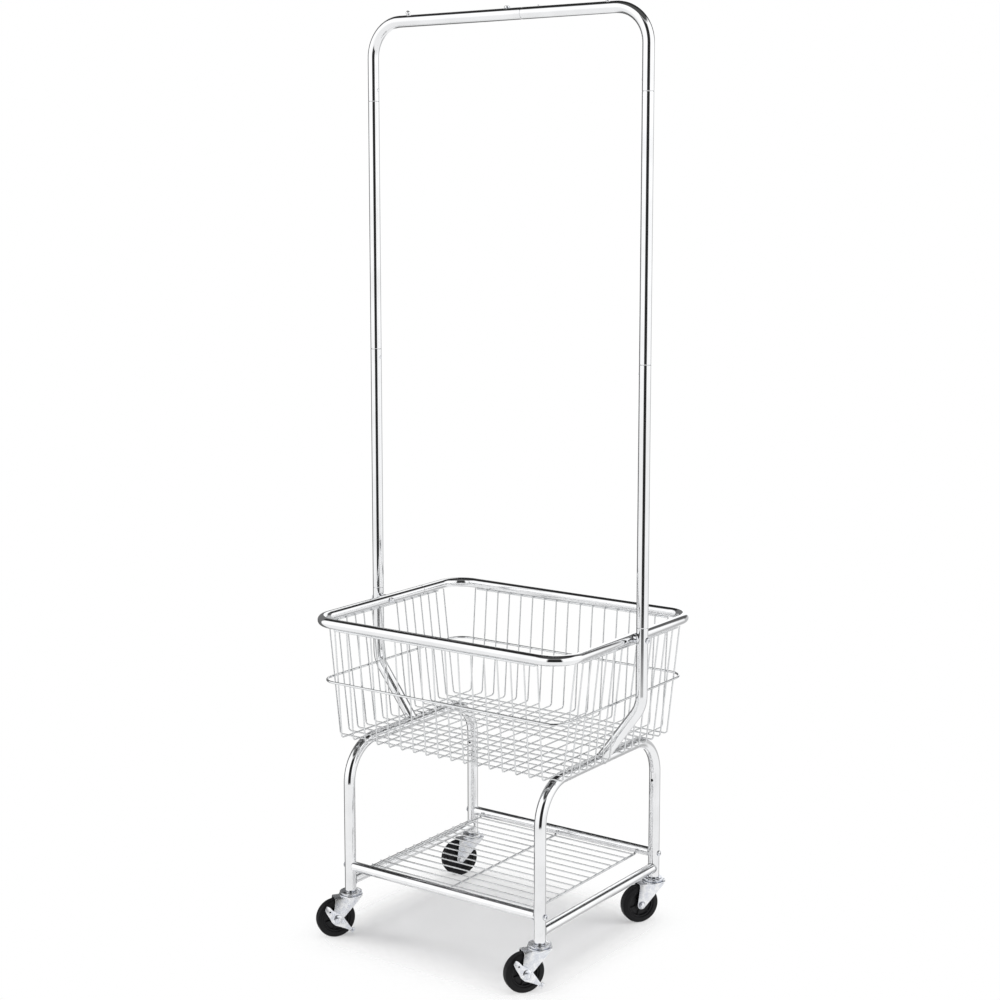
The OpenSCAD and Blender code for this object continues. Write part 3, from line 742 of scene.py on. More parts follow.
class CART_OT_end_frames(Builder, bpy.types.Operator):
    """Two upturned U frames with open feet, and drain holes shown as dark discs of painted shade"""

    bl_idname = "cart.end_frames"
    bl_label = "End frames"

    def build(self, s):
        bore = TUBE_R - s.wall
        for side, word in ((-1, "left"), (1, "right")):
            bm = bmesh.new()
            run = open_start(bm, (side * LEG_X, -LEG_Y, LEG_FOOT), Z, TUBE_R, bore, 0.02)
            run.go(RUN_Z - s.leg_bend - run.at.z).turn(math.pi / 2, s.leg_bend, Y, 18)
            run.go(2 * (LEG_Y - s.leg_bend)).turn(math.pi / 2, s.leg_bend, -Z, 18)
            run.go(RUN_Z - s.leg_bend - LEG_FOOT).mouth(bore, 0.02)
            finish_piece("end_frame_" + word + "_tube", bm, "frame", "chrome", "end_frame_" + word)
        # Painted shade: each drain hole is a dark disc set flush into the tube, with a thin dark ring round it,
        # standing in for the shade inside the hole.
        bm = bmesh.new()
        for sx in (-1, 1):
            for sy in (-1, 1):
                centre = Vector((sx * LEG_X, sy * LEG_Y, RUN_Z - s.leg_bend - 0.015))
                places = []
                for k in range(24):
                    a = 2 * math.pi * k / 24
                    across = 0.0026 * math.cos(a)
                    out = math.sqrt(TUBE_R ** 2 - across ** 2) + 0.00005
                    places.append(centre + Vector((across, -sy * out, 0.0026 * math.sin(a))))
                bead(bm, places, 0.00025, 6)
                turned(bm, centre, -sy * Y, [(TUBE_R - 0.002, 0.0026), (TUBE_R + 0.00004, 0.0026)], 24)
        finish_piece("drain_hole_shadows", bm, "frame", "chrome", material="dark")


class CART_OT_rails(Builder, bpy.types.Operator):
    """Side rails welded between the legs, front and back rails bolted to them"""

    bl_idname = "cart.rails"
    bl_label = "Rails"

    def build(self, s):
        for side, word in ((-1, "left"), (1, "right")):
            bm = bmesh.new()
            x, end = side * LEG_X, LEG_Y - 0.006
            rod(bm, (x, -end, SIDE_RAIL_Z), (x, end, SIDE_RAIL_Z), RAIL_R, 40)
            finish_piece("side_rail_" + word + "_tube", bm, "frame", "chrome", "side_rail_" + word)
        bm = bmesh.new()
        for sx in (-1, 1):
            for sy in (-1, 1):
                tee_bead(bm, (sx * LEG_X, sy * LEG_Y, SIDE_RAIL_Z), -sy * Y, Z, RAIL_R, TUBE_R, 0.0013)
        finish_piece("side_rail_welds", bm, "frame", "chrome", material="weld", sharp=60)
        for side, word in ((-1, "front_rail"), (1, "back_rail")):
            bm = bmesh.new()
            rod(bm, (0.007 - LEG_X, side * LEG_Y, RAIL_Z), (LEG_X - 0.007, side * LEG_Y, RAIL_Z), RAIL_R, 40)
            finish_piece(word + "_tube", bm, "frame", "chrome", word)


def bolt_head(bm, at, way, radius=0.0056, height=0.0032):
    """A domed head with a hexagon socket."""
    run = Run(bm, Vector(at) - Vector(way) * 0.002, way, radius * 0.6, 32)
    run.shape((0.002, radius * 0.6), (0.002, radius - 0.0003), (0.0023, radius), (0.0026, radius))
    dome = math.radians(78)
    for k in range(1, 6):
        a, before = dome * k / 5, dome * (k - 1) / 5
        run.go((height - 0.0006) * (math.sin(a) - math.sin(before)), radius * math.cos(a * 0.72))
    run.go(0, 0.0026)
    ring = bmesh.ops.create_circle(bm, cap_ends=False, segments=6, radius=0.0019)["verts"]
    bmesh.ops.transform(bm, matrix=aimed(run.at, run.way), space=Matrix(), verts=ring)
    edges = lines_of(ring)
    bmesh.ops.bridge_loops(bm, edges=run.edges + edges)
    run.verts, run.edges, run.radius = ring, edges, 0.0019
    run.go(-0.0016, 0.0018).cap()


class CART_OT_bolts(Builder, bpy.types.Operator):
    """Rail bolts, rim bolts and cap nuts"""

    bl_idname = "cart.bolts"
    bl_label = "Bolts and nuts"

    def build(self, s):
        bm = bmesh.new()
        for sx in (-1, 1):
            for sy in (-1, 1):
                bolt_head(bm, (sx * (LEG_X + TUBE_R + 0.0001), sy * LEG_Y, RAIL_Z), sx * X)
        finish_piece("rail_bolt_heads", bm, "frame", "zinc", "rail_bolts")
        bm = bmesh.new()
        for sx in (-1, 1):
            bolt_head(bm, (sx * (POLE_X + TUBE_R + 0.0001), 0, RIM_Z), sx * X)
            turned(bm, (sx * RIM_X, 0, RIM_Z), sx * X, [(-RIM_R - 0.001, 0.003), (POLE_X - RIM_X, 0.003)], 20)
        finish_piece("rim_bolt_heads", bm, "frame", "zinc", "rim_bolts")
        bm = bmesh.new()
        for sx in (-1, 1):
            face = Vector((sx * (RIM_X - RIM_R - 0.0001), 0, RIM_Z))
            part = bmesh.new()
            turned(part, face, -sx * X, [(0, 0.0056), (0.0034, 0.0056)], 6)
            bevel_sharp(part, 0.0004)
            turned(part, face, -sx * X, [
                (0.003, 0.0046), (0.0042, 0.0046), (0.0052, 0.0043), (0.0060, 0.0035), (0.0065, 0.0022),
                (0.00665, 0.0003),
            ], 28)
            mesh = bpy.data.meshes.new("nut")
            part.to_mesh(mesh)
            part.free()
            bm.from_mesh(mesh)
            bpy.data.meshes.remove(mesh)
        finish_piece("cap_nut_domes", bm, "frame", "zinc", "cap_nuts")


# ---- basket ----

def wire_shape(s, top, taper, z_low, z_top):
    """Half the flat run, lean and leg length of a basket wire."""
    r = s.wire_bend
    lean = math.radians(round(math.degrees(math.atan(taper / (z_top - z_low))) * 10) / 10)
    flat = top - taper - r * math.tan((math.pi / 2 - lean) / 2)
    leg = (z_top - z_low - r * (1 - math.sin(lean))) / math.cos(lean)
    return flat, lean, leg


def bent_wire(bm, s, along, at, flat, lean, leg, gap=0.0):
    """One basket wire: up one side, across the floor, up the other, split where a pole passes."""
    r = s.wire / 2
    for end in ((-1, 1) if gap else (1,)):
        way = Vector(along) * end
        start = Vector(at) + way * gap if gap else Vector(at) - way * flat
        soft = r * 0.35
        if gap:
            run = Run(bm, start, way, r - soft, 10).go(soft, r)
            run.go(flat - gap - soft)
        else:
            run = Run(bm, start, way, r, 10, start="open")
            run.go(flat).go(flat)
        run.turn(math.pi / 2 - lean, s.wire_bend, Z, 7).go(leg - soft).go(soft * 0.6, r - soft * 0.3)
        run.go(soft * 0.4, r - soft).cap()
        if not gap:
            other = Run(bm, start, -way, r, 10, start="open")
            other.turn(math.pi / 2 - lean, s.wire_bend, Z, 7).go(leg - soft).go(soft * 0.6, r - soft * 0.3)
            other.go(soft * 0.4, r - soft).cap()


class CART_OT_basket_rim(Builder, bpy.types.Operator):
    """The tube rim, pressed flat where the poles bolt on, and its butt weld"""

    bl_idname = "cart.basket_rim"
    bl_label = "Basket rim"

    def build(self, s):
        bm = bmesh.new()
        loop(bm, RIM_X, RIM_Y, s.rim_corner, RIM_Z, RIM_R, 40, 14)
        for y in (-0.016, -0.010, -0.005, 0.0, 0.005, 0.010, 0.016):
            bmesh.ops.bisect_plane(bm, geom=everything(bm), plane_co=(0, y, 0), plane_no=Y, dist=1e-6)
        for v in bm.verts:
            if abs(v.co.y) < 0.018 and abs(v.co.x) > RIM_X - 2 * RIM_R:
                press = 0.16 * math.cos(v.co.y / 0.018 * math.pi / 2) ** 2
                centre = math.copysign(RIM_X, v.co.x)
                if abs(v.co.x) > RIM_X:
                    v.co.x = centre + (v.co.x - centre) * (1 - press)
        finish_piece("basket_rim_tube", bm, "frame", "chrome", "basket_rim", sharp=40)
        bm = bmesh.new()
        seat = Vector((-RIM_X, 0.110, RIM_Z))
        bead(bm, [
            seat + (RIM_R - 0.0001) * Vector((math.cos(2 * math.pi * k / 32), 0, math.sin(2 * math.pi * k / 32)))
            for k in range(32)
        ], 0.0006)
        finish_piece("rim_butt_weld", bm, "frame", "chrome", material="weld", sharp=60)


class CART_OT_basket_wires(Builder, bpy.types.Operator):
    """Edge wires, hoop, the two sets of bent wires and their spot welds"""

    bl_idname = "cart.basket_wires"
    bl_label = "Basket wires"

    def build(self, s):
        bm = bmesh.new()
        for side in (-1, 1):
            x = RIM_X - s.rim_corner - 0.006
            rod(bm, (-x, side * RIM_Y, EDGE_Z), (x, side * RIM_Y, EDGE_Z), EDGE_R, 14)
            y = RIM_Y - s.rim_corner - 0.012
            rod(bm, (side * RIM_X, -y, EDGE_Z), (side * RIM_X, y, EDGE_Z), EDGE_R, 14)
        finish_piece("edge_wires", bm, "frame", "wire", "basket_edge_wires")
        bm = bmesh.new()
        loop(bm, HOOP_X, HOOP_Y, s.hoop_corner, HOOP_Z, HOOP_R, 16, 12)
        finish_piece("hoop_wire", bm, "frame", "wire", "basket_hoop", sharp=50)
        r = s.wire / 2
        z_top = EDGE_Z + 0.0015
        z_long = RUN_Z + TUBE_R + r + 0.0001
        z_across = z_long + s.wire + 0.0001
        inset = EDGE_R + r + 0.0001
        flat_x, lean_x, leg_x = wire_shape(s, RIM_X - inset, s.taper_long, z_long, z_top)
        flat_y, lean_y, leg_y = wire_shape(s, RIM_Y - inset, s.taper_short, z_across, z_top)
        bm = bmesh.new()
        rows = [side * k * s.along_pitch for side in (-1, 1) for k in range(1, s.along + 1)]
        for y in rows:
            bent_wire(bm, s, X, (0, y, z_long), flat_x, lean_x, leg_x)
        finish_piece("long_wires", bm, "frame", "wire", "basket_long_wires", sharp=50)
        bm = bmesh.new()
        reach = (s.across - 1) // 2
        columns = [k * s.across_pitch for k in range(-reach, reach + 1)]
        pole_at = LEG_X + (z_across - RUN_Z) * math.tan(s.pole_lean)
        blocked = TUBE_R / math.cos(s.pole_lean) + r + 0.0001
        for x in columns:
            gap = TUBE_R + 0.0001 if abs(abs(x) - pole_at) < blocked else 0.0
            bent_wire(bm, s, Y, (x, 0, z_across), flat_y, lean_y, leg_y, gap)
        finish_piece("cross_wires", bm, "frame", "wire", "basket_cross_wires", sharp=50)
        bm = bmesh.new()
        low_x = RIM_X - inset - s.taper_long
        low_y = RIM_Y - inset - s.taper_short
        spots = [(x, y, (z_long + z_across) / 2) for x in columns for y in rows]
        for side in (-1, 1):
            at_x = low_x + (HOOP_Z - z_long) * math.tan(lean_x) + r
            at_y = low_y + (HOOP_Z - z_across) * math.tan(lean_y) + r
            spots += [(side * at_x, y, HOOP_Z) for y in rows]
            spots += [(x, side * at_y, HOOP_Z) for x in columns if abs(x) < HOOP_X - s.hoop_corner]
            spots += [(side * (RIM_X - EDGE_R), y, EDGE_Z) for y in rows if abs(y) < RIM_Y - s.rim_corner]
            spots += [(x, side * (RIM_Y - EDGE_R), EDGE_Z) for x in columns]
        for spot in spots:
            made = bmesh.ops.create_icosphere(bm, subdivisions=1, radius=0.0012)["verts"]
            bmesh.ops.translate(bm, vec=spot, verts=made)
        finish_piece("basket_spot_welds", bm, "frame", "wire", material="weld", sharp=80)
        bm = bmesh.new()
        for side in (-1, 1):
            for x in (-0.20, -0.10, 0.0, 0.10, 0.20):
                tack(bm, (x, side * RIM_Y, EDGE_Z + EDGE_R), X)
            for y in (-0.14, -0.05, 0.05, 0.14):
                tack(bm, (side * RIM_X, y, EDGE_Z + EDGE_R), Y)
        for y in rows:
            if abs(y) < LEG_Y - s.leg_bend:
                for side in (-1, 1):
                    tack(bm, (side * LEG_X, y, z_long - r), X, 0.7)
        finish_piece("rim_tacks", bm, "frame", "chrome", material="weld", sharp=60)


def tack(bm, at, along, share=1.0):
    """A short tack weld, longer than it is wide."""
    made = bmesh.ops.create_icosphere(bm, subdivisions=2, radius=0.0016 * share)["verts"]
    stretch = Vector((1, 1, 0.55)) + Vector(along) * 1.6
    bmesh.ops.scale(bm, vec=stretch, verts=made)
    bmesh.ops.translate(bm, vec=at, verts=made)


# ---- shelf ----

class CART_OT_shelf(Builder, bpy.types.Operator):
    """Shelf wires on three supports that hook over the rails"""

    bl_idname = "cart.shelf"
    bl_label = "Wire shelf"

    def build(self, s):
        r = (high("shelf_cross_wires", 2) - low("shelf_cross_wires", 2)) / 2
        pitch = 2 * (SHELF_Y - r) / (s.shelf_wires - 1)
        rows = [(k - (s.shelf_wires - 1) / 2) * pitch for k in range(s.shelf_wires)]
        bm = bmesh.new()
        for y in rows:
            rod(bm, (-SHELF_X, y, SHELF_Z), (SHELF_X, y, SHELF_Z), r, 10)
        finish_piece("shelf_wires", bm, "frame", "wire", "shelf_cross_wires", sharp=50)
        bar = s.support / 2
        z = SHELF_Z - r - bar - 0.0001
        hook = LEG_Y - RAIL_R - 0.0115
        out = high("shelf_supports", 0) - bar
        bm = bmesh.new()
        for x in (-out, 0, out):
            run = Run(bm, (x, -hook, z), Y, bar, 14, start="open")
            run.go(2 * hook).turn(math.radians(60), 0.008, Z, 8).go(0.0045).go(0.0005, bar - 0.0006).cap()
            run = Run(bm, (x, -hook, z), -Y, bar, 14, start="open")
            run.turn(math.radians(60), 0.008, Z, 8).go(0.0045).go(0.0005, bar - 0.0006).cap()
        finish_piece("shelf_support_wires", bm, "frame", "wire", "shelf_supports", sharp=50)
        bm = bmesh.new()
        for x in (-out, 0, out):
            for y in rows:
                made = bmesh.ops.create_icosphere(bm, subdivisions=1, radius=0.0013)["verts"]
                bmesh.ops.translate(bm, vec=(x, y, SHELF_Z - r), verts=made)
            for side in (-1, 1):
                tack(bm, (x, side * (LEG_Y - RAIL_R - 0.0012), RAIL_Z - 0.0005), Z * 0.4, 0.9)
        finish_piece("shelf_spot_welds", bm, "frame", "wire", material="weld", sharp=80)


# ---- casters ----

class CART_OT_caster_tops(Builder, bpy.types.Operator):
    """Leg sockets, stems and swivel races"""

    bl_idname = "cart.caster_tops"
    bl_label = "Caster tops"

    def build(self, s):
        bore = TUBE_R - s.wall
        sockets, stems, races = bmesh.new(), bmesh.new(), bmesh.new()
        stem = 0.0055
        for sx, sy in CORNERS.values():
            foot = (sx * LEG_X, sy * LEG_Y, 0)
            turned(sockets, foot, Z, [
                (LEG_FOOT + 0.0010, bore - 0.0004), (LEG_FOOT + 0.0014, bore - 0.0001),
                (LEG_FOOT + 0.018, bore - 0.0001), (LEG_FOOT + 0.018, stem + 0.001),
            ], 36)
            turned(stems, foot, Z, [
                (FORK_TOP - 0.0037, 0.0072), (FORK_TOP - 0.0034, 0.0080), (FORK_TOP - 0.0023, 0.0080),
                (FORK_TOP - 0.0023, stem), (RACE_HIGH + 0.0001, stem), (RACE_HIGH + 0.0001, 0.0086),
                (RACE_HIGH + 0.0004, 0.0090), (RACE_HIGH + 0.0012, 0.0090), (RACE_HIGH + 0.0015, 0.0086),
                (RACE_HIGH + 0.0015, stem), (RACE_HIGH + 0.0100, stem),
            ], 36)
            turned(races, foot, Z, [
                (RACE_LOW, stem + 0.0002), (RACE_LOW, RACE_R - 0.0008), (RACE_LOW + 0.0002, RACE_R - 0.0002),
                (RACE_LOW + 0.0006, RACE_R), (RACE_LOW + 0.0014, RACE_R), (RACE_LOW + 0.0020, RACE_R - 0.0004),
                (RACE_LOW + 0.0025, RACE_R - 0.0014), (RACE_LOW + 0.0026, RACE_R - 0.0040),
                (RACE_LOW + 0.0029, RACE_R - 0.0049), (RACE_HIGH - 0.0030, RACE_R - 0.0049),
                (RACE_HIGH - 0.0028, RACE_R - 0.0042), (RACE_HIGH - 0.0028, RACE_R - 0.0022),
                (RACE_HIGH - 0.0025, RACE_R - 0.0016), (RACE_HIGH - 0.0018, RACE_R - 0.0015),
                (RACE_HIGH - 0.0013, RACE_R - 0.0020), (RACE_HIGH - 0.0012, RACE_R - 0.0040),
                (RACE_HIGH - 0.0008, RACE_R - 0.0066), (RACE_HIGH - 0.0002, RACE_R - 0.0074),
                (RACE_HIGH, RACE_R - 0.0082), (RACE_HIGH, stem + 0.0002),
            ], 56)
        finish_piece("leg_sockets", sockets, "frame", "socket", "caster_sockets")
        finish_piece("caster_pins", stems, "frame", "zinc", "caster_stems")
        finish_piece("race_cups", races, "frame", "zinc", "swivel_races", sharp=40)


class CART_OT_forks(Builder, bpy.types.Operator):
    """Forks folded from sheet, with a pressed crown"""

    bl_idname = "cart.forks"
    bl_label = "Caster forks"

    def build(self, s):
        inner, sheet, axle = 0.0113, 0.002, 0.003
        outer = inner + sheet
        for corner in CORNERS:
            bm = bmesh.new()
            spine = [(-outer, 0.020), (-outer, FORK_TOP - 0.0035)]
            for k in range(1, 6):
                a = math.pi / 2 * k / 5
                spine.append((-outer + 0.0035 * (1 - math.cos(a)), FORK_TOP - 0.0035 + 0.0035 * math.sin(a)))
            path = spine + [(-y, z) for y, z in reversed(spine)]
            verts = [bm.verts.new((-0.0199, y, z)) for y, z in path]
            edges = [bm.edges.new(pair) for pair in zip(verts, verts[1:])]
            geom = bmesh.ops.extrude_edge_only(bm, edges=edges)["geom"]
            bmesh.ops.translate(bm, vec=(0.060, 0, 0), verts=points(geom))
            bmesh.ops.recalc_face_normals(bm, faces=bm.faces)
            crown = max(bm.faces, key=lambda f: f.calc_center_median().z)
            if crown.normal.z < 0:
                bmesh.ops.reverse_faces(bm, faces=bm.faces)
            bmesh.ops.solidify(bm, geom=bm.faces[:], thickness=sheet)
            self.trim(bm, axle)
            bevel_sharp(bm, 0.00035, 2, 40)
            self.crown(bm)
            for side in (-1, 1):
                turned(bm, (TRAIL, side * (outer - 0.0004), WHEEL_R), side * Y, [
                    (0, 0.0078), (0.0004, 0.0076), (0.0004, 0.0050),
                ], 28)
            placed(bm, corner)
            finish_piece("caster_fork_" + corner, bm, "swivel_" + corner, "zinc", "fork_" + corner, sharp=38)

    def trim(self, bm, axle):
        """Cuts the folded channel to its slanted, round-footed outline."""
        foot, round_foot = Vector((TRAIL, 0, WHEEL_R)), 0.0085
        cuts = []
        for degrees in range(224, 371, 14):
            a = math.radians(degrees)
            way = Vector((math.cos(a), 0, math.sin(a)))
            cuts.append((foot + way * round_foot, way))
        lead = Vector((-0.020, 0, FORK_TOP - 0.001))
        under = Vector((math.cos(math.radians(217)), 0, math.sin(math.radians(217))))
        slope = (foot + under * round_foot - lead).normalized()
        cuts.append((lead, Vector((slope.z, 0, -slope.x))))
        tail = Vector((0.034, 0, FORK_TOP))
        slope = (foot + Vector((round_foot, 0, 0.002)) - tail).normalized()
        cuts.append((tail, Vector((-slope.z, 0, slope.x))))
        for place, way in cuts:
            bmesh.ops.bisect_plane(
                bm, geom=everything(bm), plane_co=place, plane_no=way, clear_outer=True, dist=1e-7,
            )
            open_edges = [e for e in bm.edges if e.is_boundary]
            bmesh.ops.holes_fill(bm, edges=open_edges, sides=0)

    def crown(self, bm):
        """The round bearing seat pressed up under the race."""
        top = FORK_TOP
        turned(bm, (0, 0, 0), Z, [
            (top - 0.0022, 0.0205), (top - 0.0006, 0.0209), (top - 0.0002, 0.0206), (top, 0.0200), (top, 0.0172),
            (top - 0.0006, 0.0160), (top - 0.0006, 0.0120), (top - 0.0001, 0.0108), (top - 0.0001, 0.0060),
        ], 48)


class CART_OT_wheels(Builder, bpy.types.Operator):
    """Tyres with a rounded tread, on moulded centres"""

    bl_idname = "cart.wheels"
    bl_label = "Wheels"

    def build(self, s):
        half = 0.0095
        for corner in CORNERS:
            centre = Vector((TRAIL, 0, WHEEL_R))
            seat = 0.0260
            bm = bmesh.new()
            run = Run(bm, centre - Y * (half - 0.0015), Y, seat, 96, start="open")
            first = run.edges
            rings = [(-half + 0.0004, 0.0266), (-half, 0.0275), (-half, 0.0300), (-half + 0.0004, 0.0306),
                     (-half + 0.0004, 0.0330)]
            shoulder = 0.0340
            for k in range(0, 7):
                a = math.pi / 2 * k / 6
                out = shoulder + (WHEEL_R - shoulder - 0.0001) * math.sin(a)
                rings.append((-half + 0.0006 + 0.0034 * (1 - math.cos(a)), out))
            rings += [(-0.0003, WHEEL_R - 0.0001), (-0.0002, WHEEL_R), (0.0002, WHEEL_R), (0.0003, WHEEL_R - 0.0001)]
            rings += [(-d, r) for d, r in reversed(rings[:-4])] + [(half - 0.0015, seat)]
            run.shape(*[(d + half - 0.0015, r) for d, r in rings])
            bmesh.ops.bridge_loops(bm, edges=first + run.edges)
            placed(bm, corner)
            finish_piece("tread_" + corner, bm, "wheel_" + corner, "tyre", "tyre_" + corner, sharp=40)
            bm = bmesh.new()
            face = half - 0.0015
            boss = 0.0109
            outline = [
                (-boss, 0.0072), (-boss + 0.0004, 0.0078), (-boss + 0.0018, 0.0080), (-face + 0.0010, 0.0084),
                (-face + 0.0003, 0.0100), (-face + 0.0003, 0.0112), (-face + 0.0032, 0.0120),
                (-face + 0.0034, 0.0218),
                (-face + 0.0006, 0.0228), (-face, 0.0234), (-face, 0.0254), (-face + 0.0004, 0.0260),
            ]
            turned(bm, centre, Y, outline + [(-d, r) for d, r in reversed(outline)], 72)
            for side in (-1, 1):
                for k in range(6):
                    self.rib(bm, centre, side, math.radians(60 * k + 15), face)
            placed(bm, corner)
            finish_piece("wheel_centre_" + corner, bm, "wheel_" + corner, "hub", "hub_" + corner)

    def rib(self, bm, centre, side, angle, face):
        """A moulded rib across the recess of a wheel centre."""
        made = bmesh.ops.create_cube(bm, size=1.0)["verts"]
        bmesh.ops.scale(bm, vec=(0.0125, 0.0036, 0.0016), verts=made)
        bmesh.ops.translate(bm, vec=(0.0170, side * (face - 0.0022), 0), verts=made)
        bmesh.ops.rotate(bm, cent=(0, 0, 0), matrix=Matrix.Rotation(angle, 3, "Y"), verts=made)
        edges = lines_of(made)
        bmesh.ops.translate(bm, vec=centre, verts=made)
        bmesh.ops.bevel(
            bm, geom=edges, offset=0.0003, segments=1, profile=0.5, affect="EDGES", material=-1, clamp_overlap=True
        )


class CART_OT_axles(Builder, bpy.types.Operator):
    """Axle bolts and their nuts"""

    bl_idname = "cart.axles"
    bl_label = "Axles"

    braked_head = (
        (0, 0.0030), (0, 0.0049), (0.0003, 0.0052), (0.0029, 0.0052), (0.0034, 0.0048), (0.0034, 0.0036),
        (0.0040, 0.0033), (0.00415, 0.0024), (0.00395, 0.0004),
    )
    plain_head = (
        (0, 0.0030), (0, 0.0049), (0.0004, 0.0052), (0.0020, 0.0052), (0.0030, 0.0047), (0.0036, 0.0036),
        (0.0039, 0.0020), (0.0040, 0.0004),
    )

    def build(self, s):
        half = 0.0133
        for corner, (sx, sy) in CORNERS.items():
            braked = sy < 0
            out = half + 0.0004 + 0.0018 + 0.002 + 0.0004 if braked else half + 0.0001
            axis = Vector((TRAIL, 0, WHEEL_R))
            bm = bmesh.new()
            head = self.braked_head if braked else self.plain_head
            rings = [(out + d, r) for d, r in head]
            turned(bm, axis, Y, [(-half - 0.0062, 0.0024), (-half - 0.0058, 0.0030)] + rings, 32)
            placed(bm, corner)
            finish_piece("axle_bolt_" + corner, bm, "swivel_" + corner, "zinc", "axle_" + corner)
            bm = bmesh.new()
            turned(bm, axis, -Y, [(half + 0.0001, 0.0058), (half + 0.0036, 0.0058)], 6)
            bevel_sharp(bm, 0.0004)
            turned(bm, axis, -Y, [
                (half + 0.003, 0.0044), (half + 0.0044, 0.0042), (half + 0.0047, 0.0038), (half + 0.0047, 0.0031),
            ], 28)
            placed(bm, corner)
            finish_piece("lock_nut_" + corner, bm, "swivel_" + corner, "zinc", "axle_nut_" + corner)


class CART_OT_brake_levers(Builder, bpy.types.Operator):
    """Stamped brake levers with a tab that bears on the tread"""

    bl_idname = "cart.brake_levers"
    bl_label = "Brake levers"

    outline = (
        (0.0150, 0.0262), (0.0205, 0.0295), (0.0248, 0.0222), (0.0205, 0.0125), (0.0155, 0.0040), (0.0110, -0.0050),
        (0.0040, -0.0115), (-0.0060, -0.0155), (-0.0170, -0.0205), (-0.0245, -0.0245), (-0.0310, -0.0268),
        (-0.0300, -0.0230), (-0.0255, -0.0175), (-0.0195, -0.0080), (-0.0120, 0.0030), (-0.0030, 0.0115),
        (0.0080, 0.0180),
    )

    def build(self, s):
        near, sheet = 0.0137, 0.0018
        for corner in ("front_left", "front_right"):
            bm = bmesh.new()
            verts = [bm.verts.new((x, 0, z)) for x, z in self.outline]
            bmesh.ops.contextual_create(bm, geom=verts)
            bmesh.ops.bevel(
                bm, geom=bm.verts[:], offset=0.0012, segments=2, profile=0.5, affect="VERTICES", material=-1,
                clamp_overlap=True,
            )
            out = bmesh.ops.extrude_face_region(bm, geom=bm.faces[:])["geom"]
            bmesh.ops.translate(bm, vec=(0, sheet, 0), verts=points(out))
            bmesh.ops.recalc_face_normals(bm, faces=bm.faces)
            bevel_sharp(bm, 0.0003, 2, 60)
            turned(bm, (0, 0, 0), Y, [
                (sheet - 0.0008, 0.0096), (sheet, 0.0095), (sheet + 0.0005, 0.0090), (sheet + 0.0012, 0.0082),
                (sheet + 0.0018, 0.0070), (sheet + 0.0020, 0.0060), (sheet + 0.0020, 0.0036), (sheet, 0.0033),
            ], 40)
            self.tab(bm, sheet, near)
            self.eye(bm, (0.0148, 0, 0.017), sheet)
            # Painted shade: the hole in the tip is filled with a dark plug that stands in for the shade inside it.
            hole = bmesh.new()
            turned(hole, (0.0148, 0, 0.017), Y, [
                (-0.00014, 0.0004), (-0.00016, 0.0017), (sheet + 0.00016, 0.0017), (sheet + 0.00014, 0.0004),
            ], 24)
            for piece in (bm, hole):
                bmesh.ops.translate(piece, vec=(TRAIL, near, WHEEL_R), verts=piece.verts)
                placed(piece, corner)
            finish_piece(
                "brake_pedal_" + corner, bm, "lever_" + corner, "zinc", "brake_lever_" + corner, sharp=38
            )
            finish_piece("brake_pedal_hole_shadow_" + corner, hole, "lever_" + corner, "hub", material="dark")

    def tab(self, bm, sheet, near):
        """The strip folded in over the tread."""
        reach, width = WHEEL_R + 0.0055, 0.0045
        start = set(bm.verts)
        path = [(-0.034, 0.5 * sheet)]
        path.append((-reach + 0.0030, 0.5 * sheet))
        for k in range(1, 6):
            a = math.pi / 2 * k / 5
            path.append((-reach + 0.0009 + 0.0021 * (1 - math.sin(a)), 0.5 * sheet - 0.0021 * (1 - math.cos(a))))
        path.append((-reach + 0.0009, -near + 0.0038 + 0.5 * sheet))
        verts = [bm.verts.new((x, y, -width)) for x, y in path]
        edges = [bm.edges.new(pair) for pair in zip(verts, verts[1:])]
        geom = bmesh.ops.extrude_edge_only(bm, edges=edges)["geom"]
        bmesh.ops.translate(bm, vec=(0, 0, 2 * width), verts=points(geom))
        faces = [g for g in geom if isinstance(g, bmesh.types.BMFace)]
        bmesh.ops.recalc_face_normals(bm, faces=faces)
        bmesh.ops.solidify(bm, geom=faces, thickness=sheet)
        fresh = [v for v in bm.verts if v not in start]
        highest = max(v.co.y for v in fresh)
        bmesh.ops.translate(bm, vec=(0, sheet - highest, 0), verts=fresh)
        outermost = min(v.co.x for v in fresh)
        bmesh.ops.translate(bm, vec=(-reach - outermost, 0, 0), verts=fresh)
        edges = [e for e in bm.edges if e.verts[0] not in start and len(e.link_faces) == 2]
        edges = [e for e in edges if e.calc_face_angle(0) > 1.0]
        bmesh.ops.bevel(
            bm, geom=edges, offset=0.0003, segments=2, profile=0.5, affect="EDGES", material=-1, clamp_overlap=True
        )
        fresh = [v for v in bm.verts if v not in start]
        bmesh.ops.rotate(bm, cent=(0, 0, 0), matrix=Matrix.Rotation(-math.radians(40), 3, "Y"), verts=fresh)

    def eye(self, bm, at, sheet):
        """The raised rim of the small hole in the tip."""
        for side, face in ((1, sheet), (-1, 0.0)):
            turned(bm, Vector(at) + Y * face, side * Y, [
                (-0.0002, 0.0024), (0.00015, 0.0023), (0.0002, 0.0020), (-0.0003, 0.0017),
            ], 24)


# ---- what stays as packed, and the stage ----

class CART_OT_plain_nodes(Builder, bpy.types.Operator):
    """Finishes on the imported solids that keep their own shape"""

    bl_idname = "cart.plain_nodes"
    bl_label = "Packed solids"

    def build(self, s):
        slots = {row["node"]: row["material_slot"] for row in frame["record"]["subparts"]}
        for node, solid in frame["nodes"].items():
            finish = FINISHES[slots[node]]
            if solid.material_slots:
                for place in solid.material_slots:
                    place.material = finish
            else:
                solid.data.materials.append(finish)


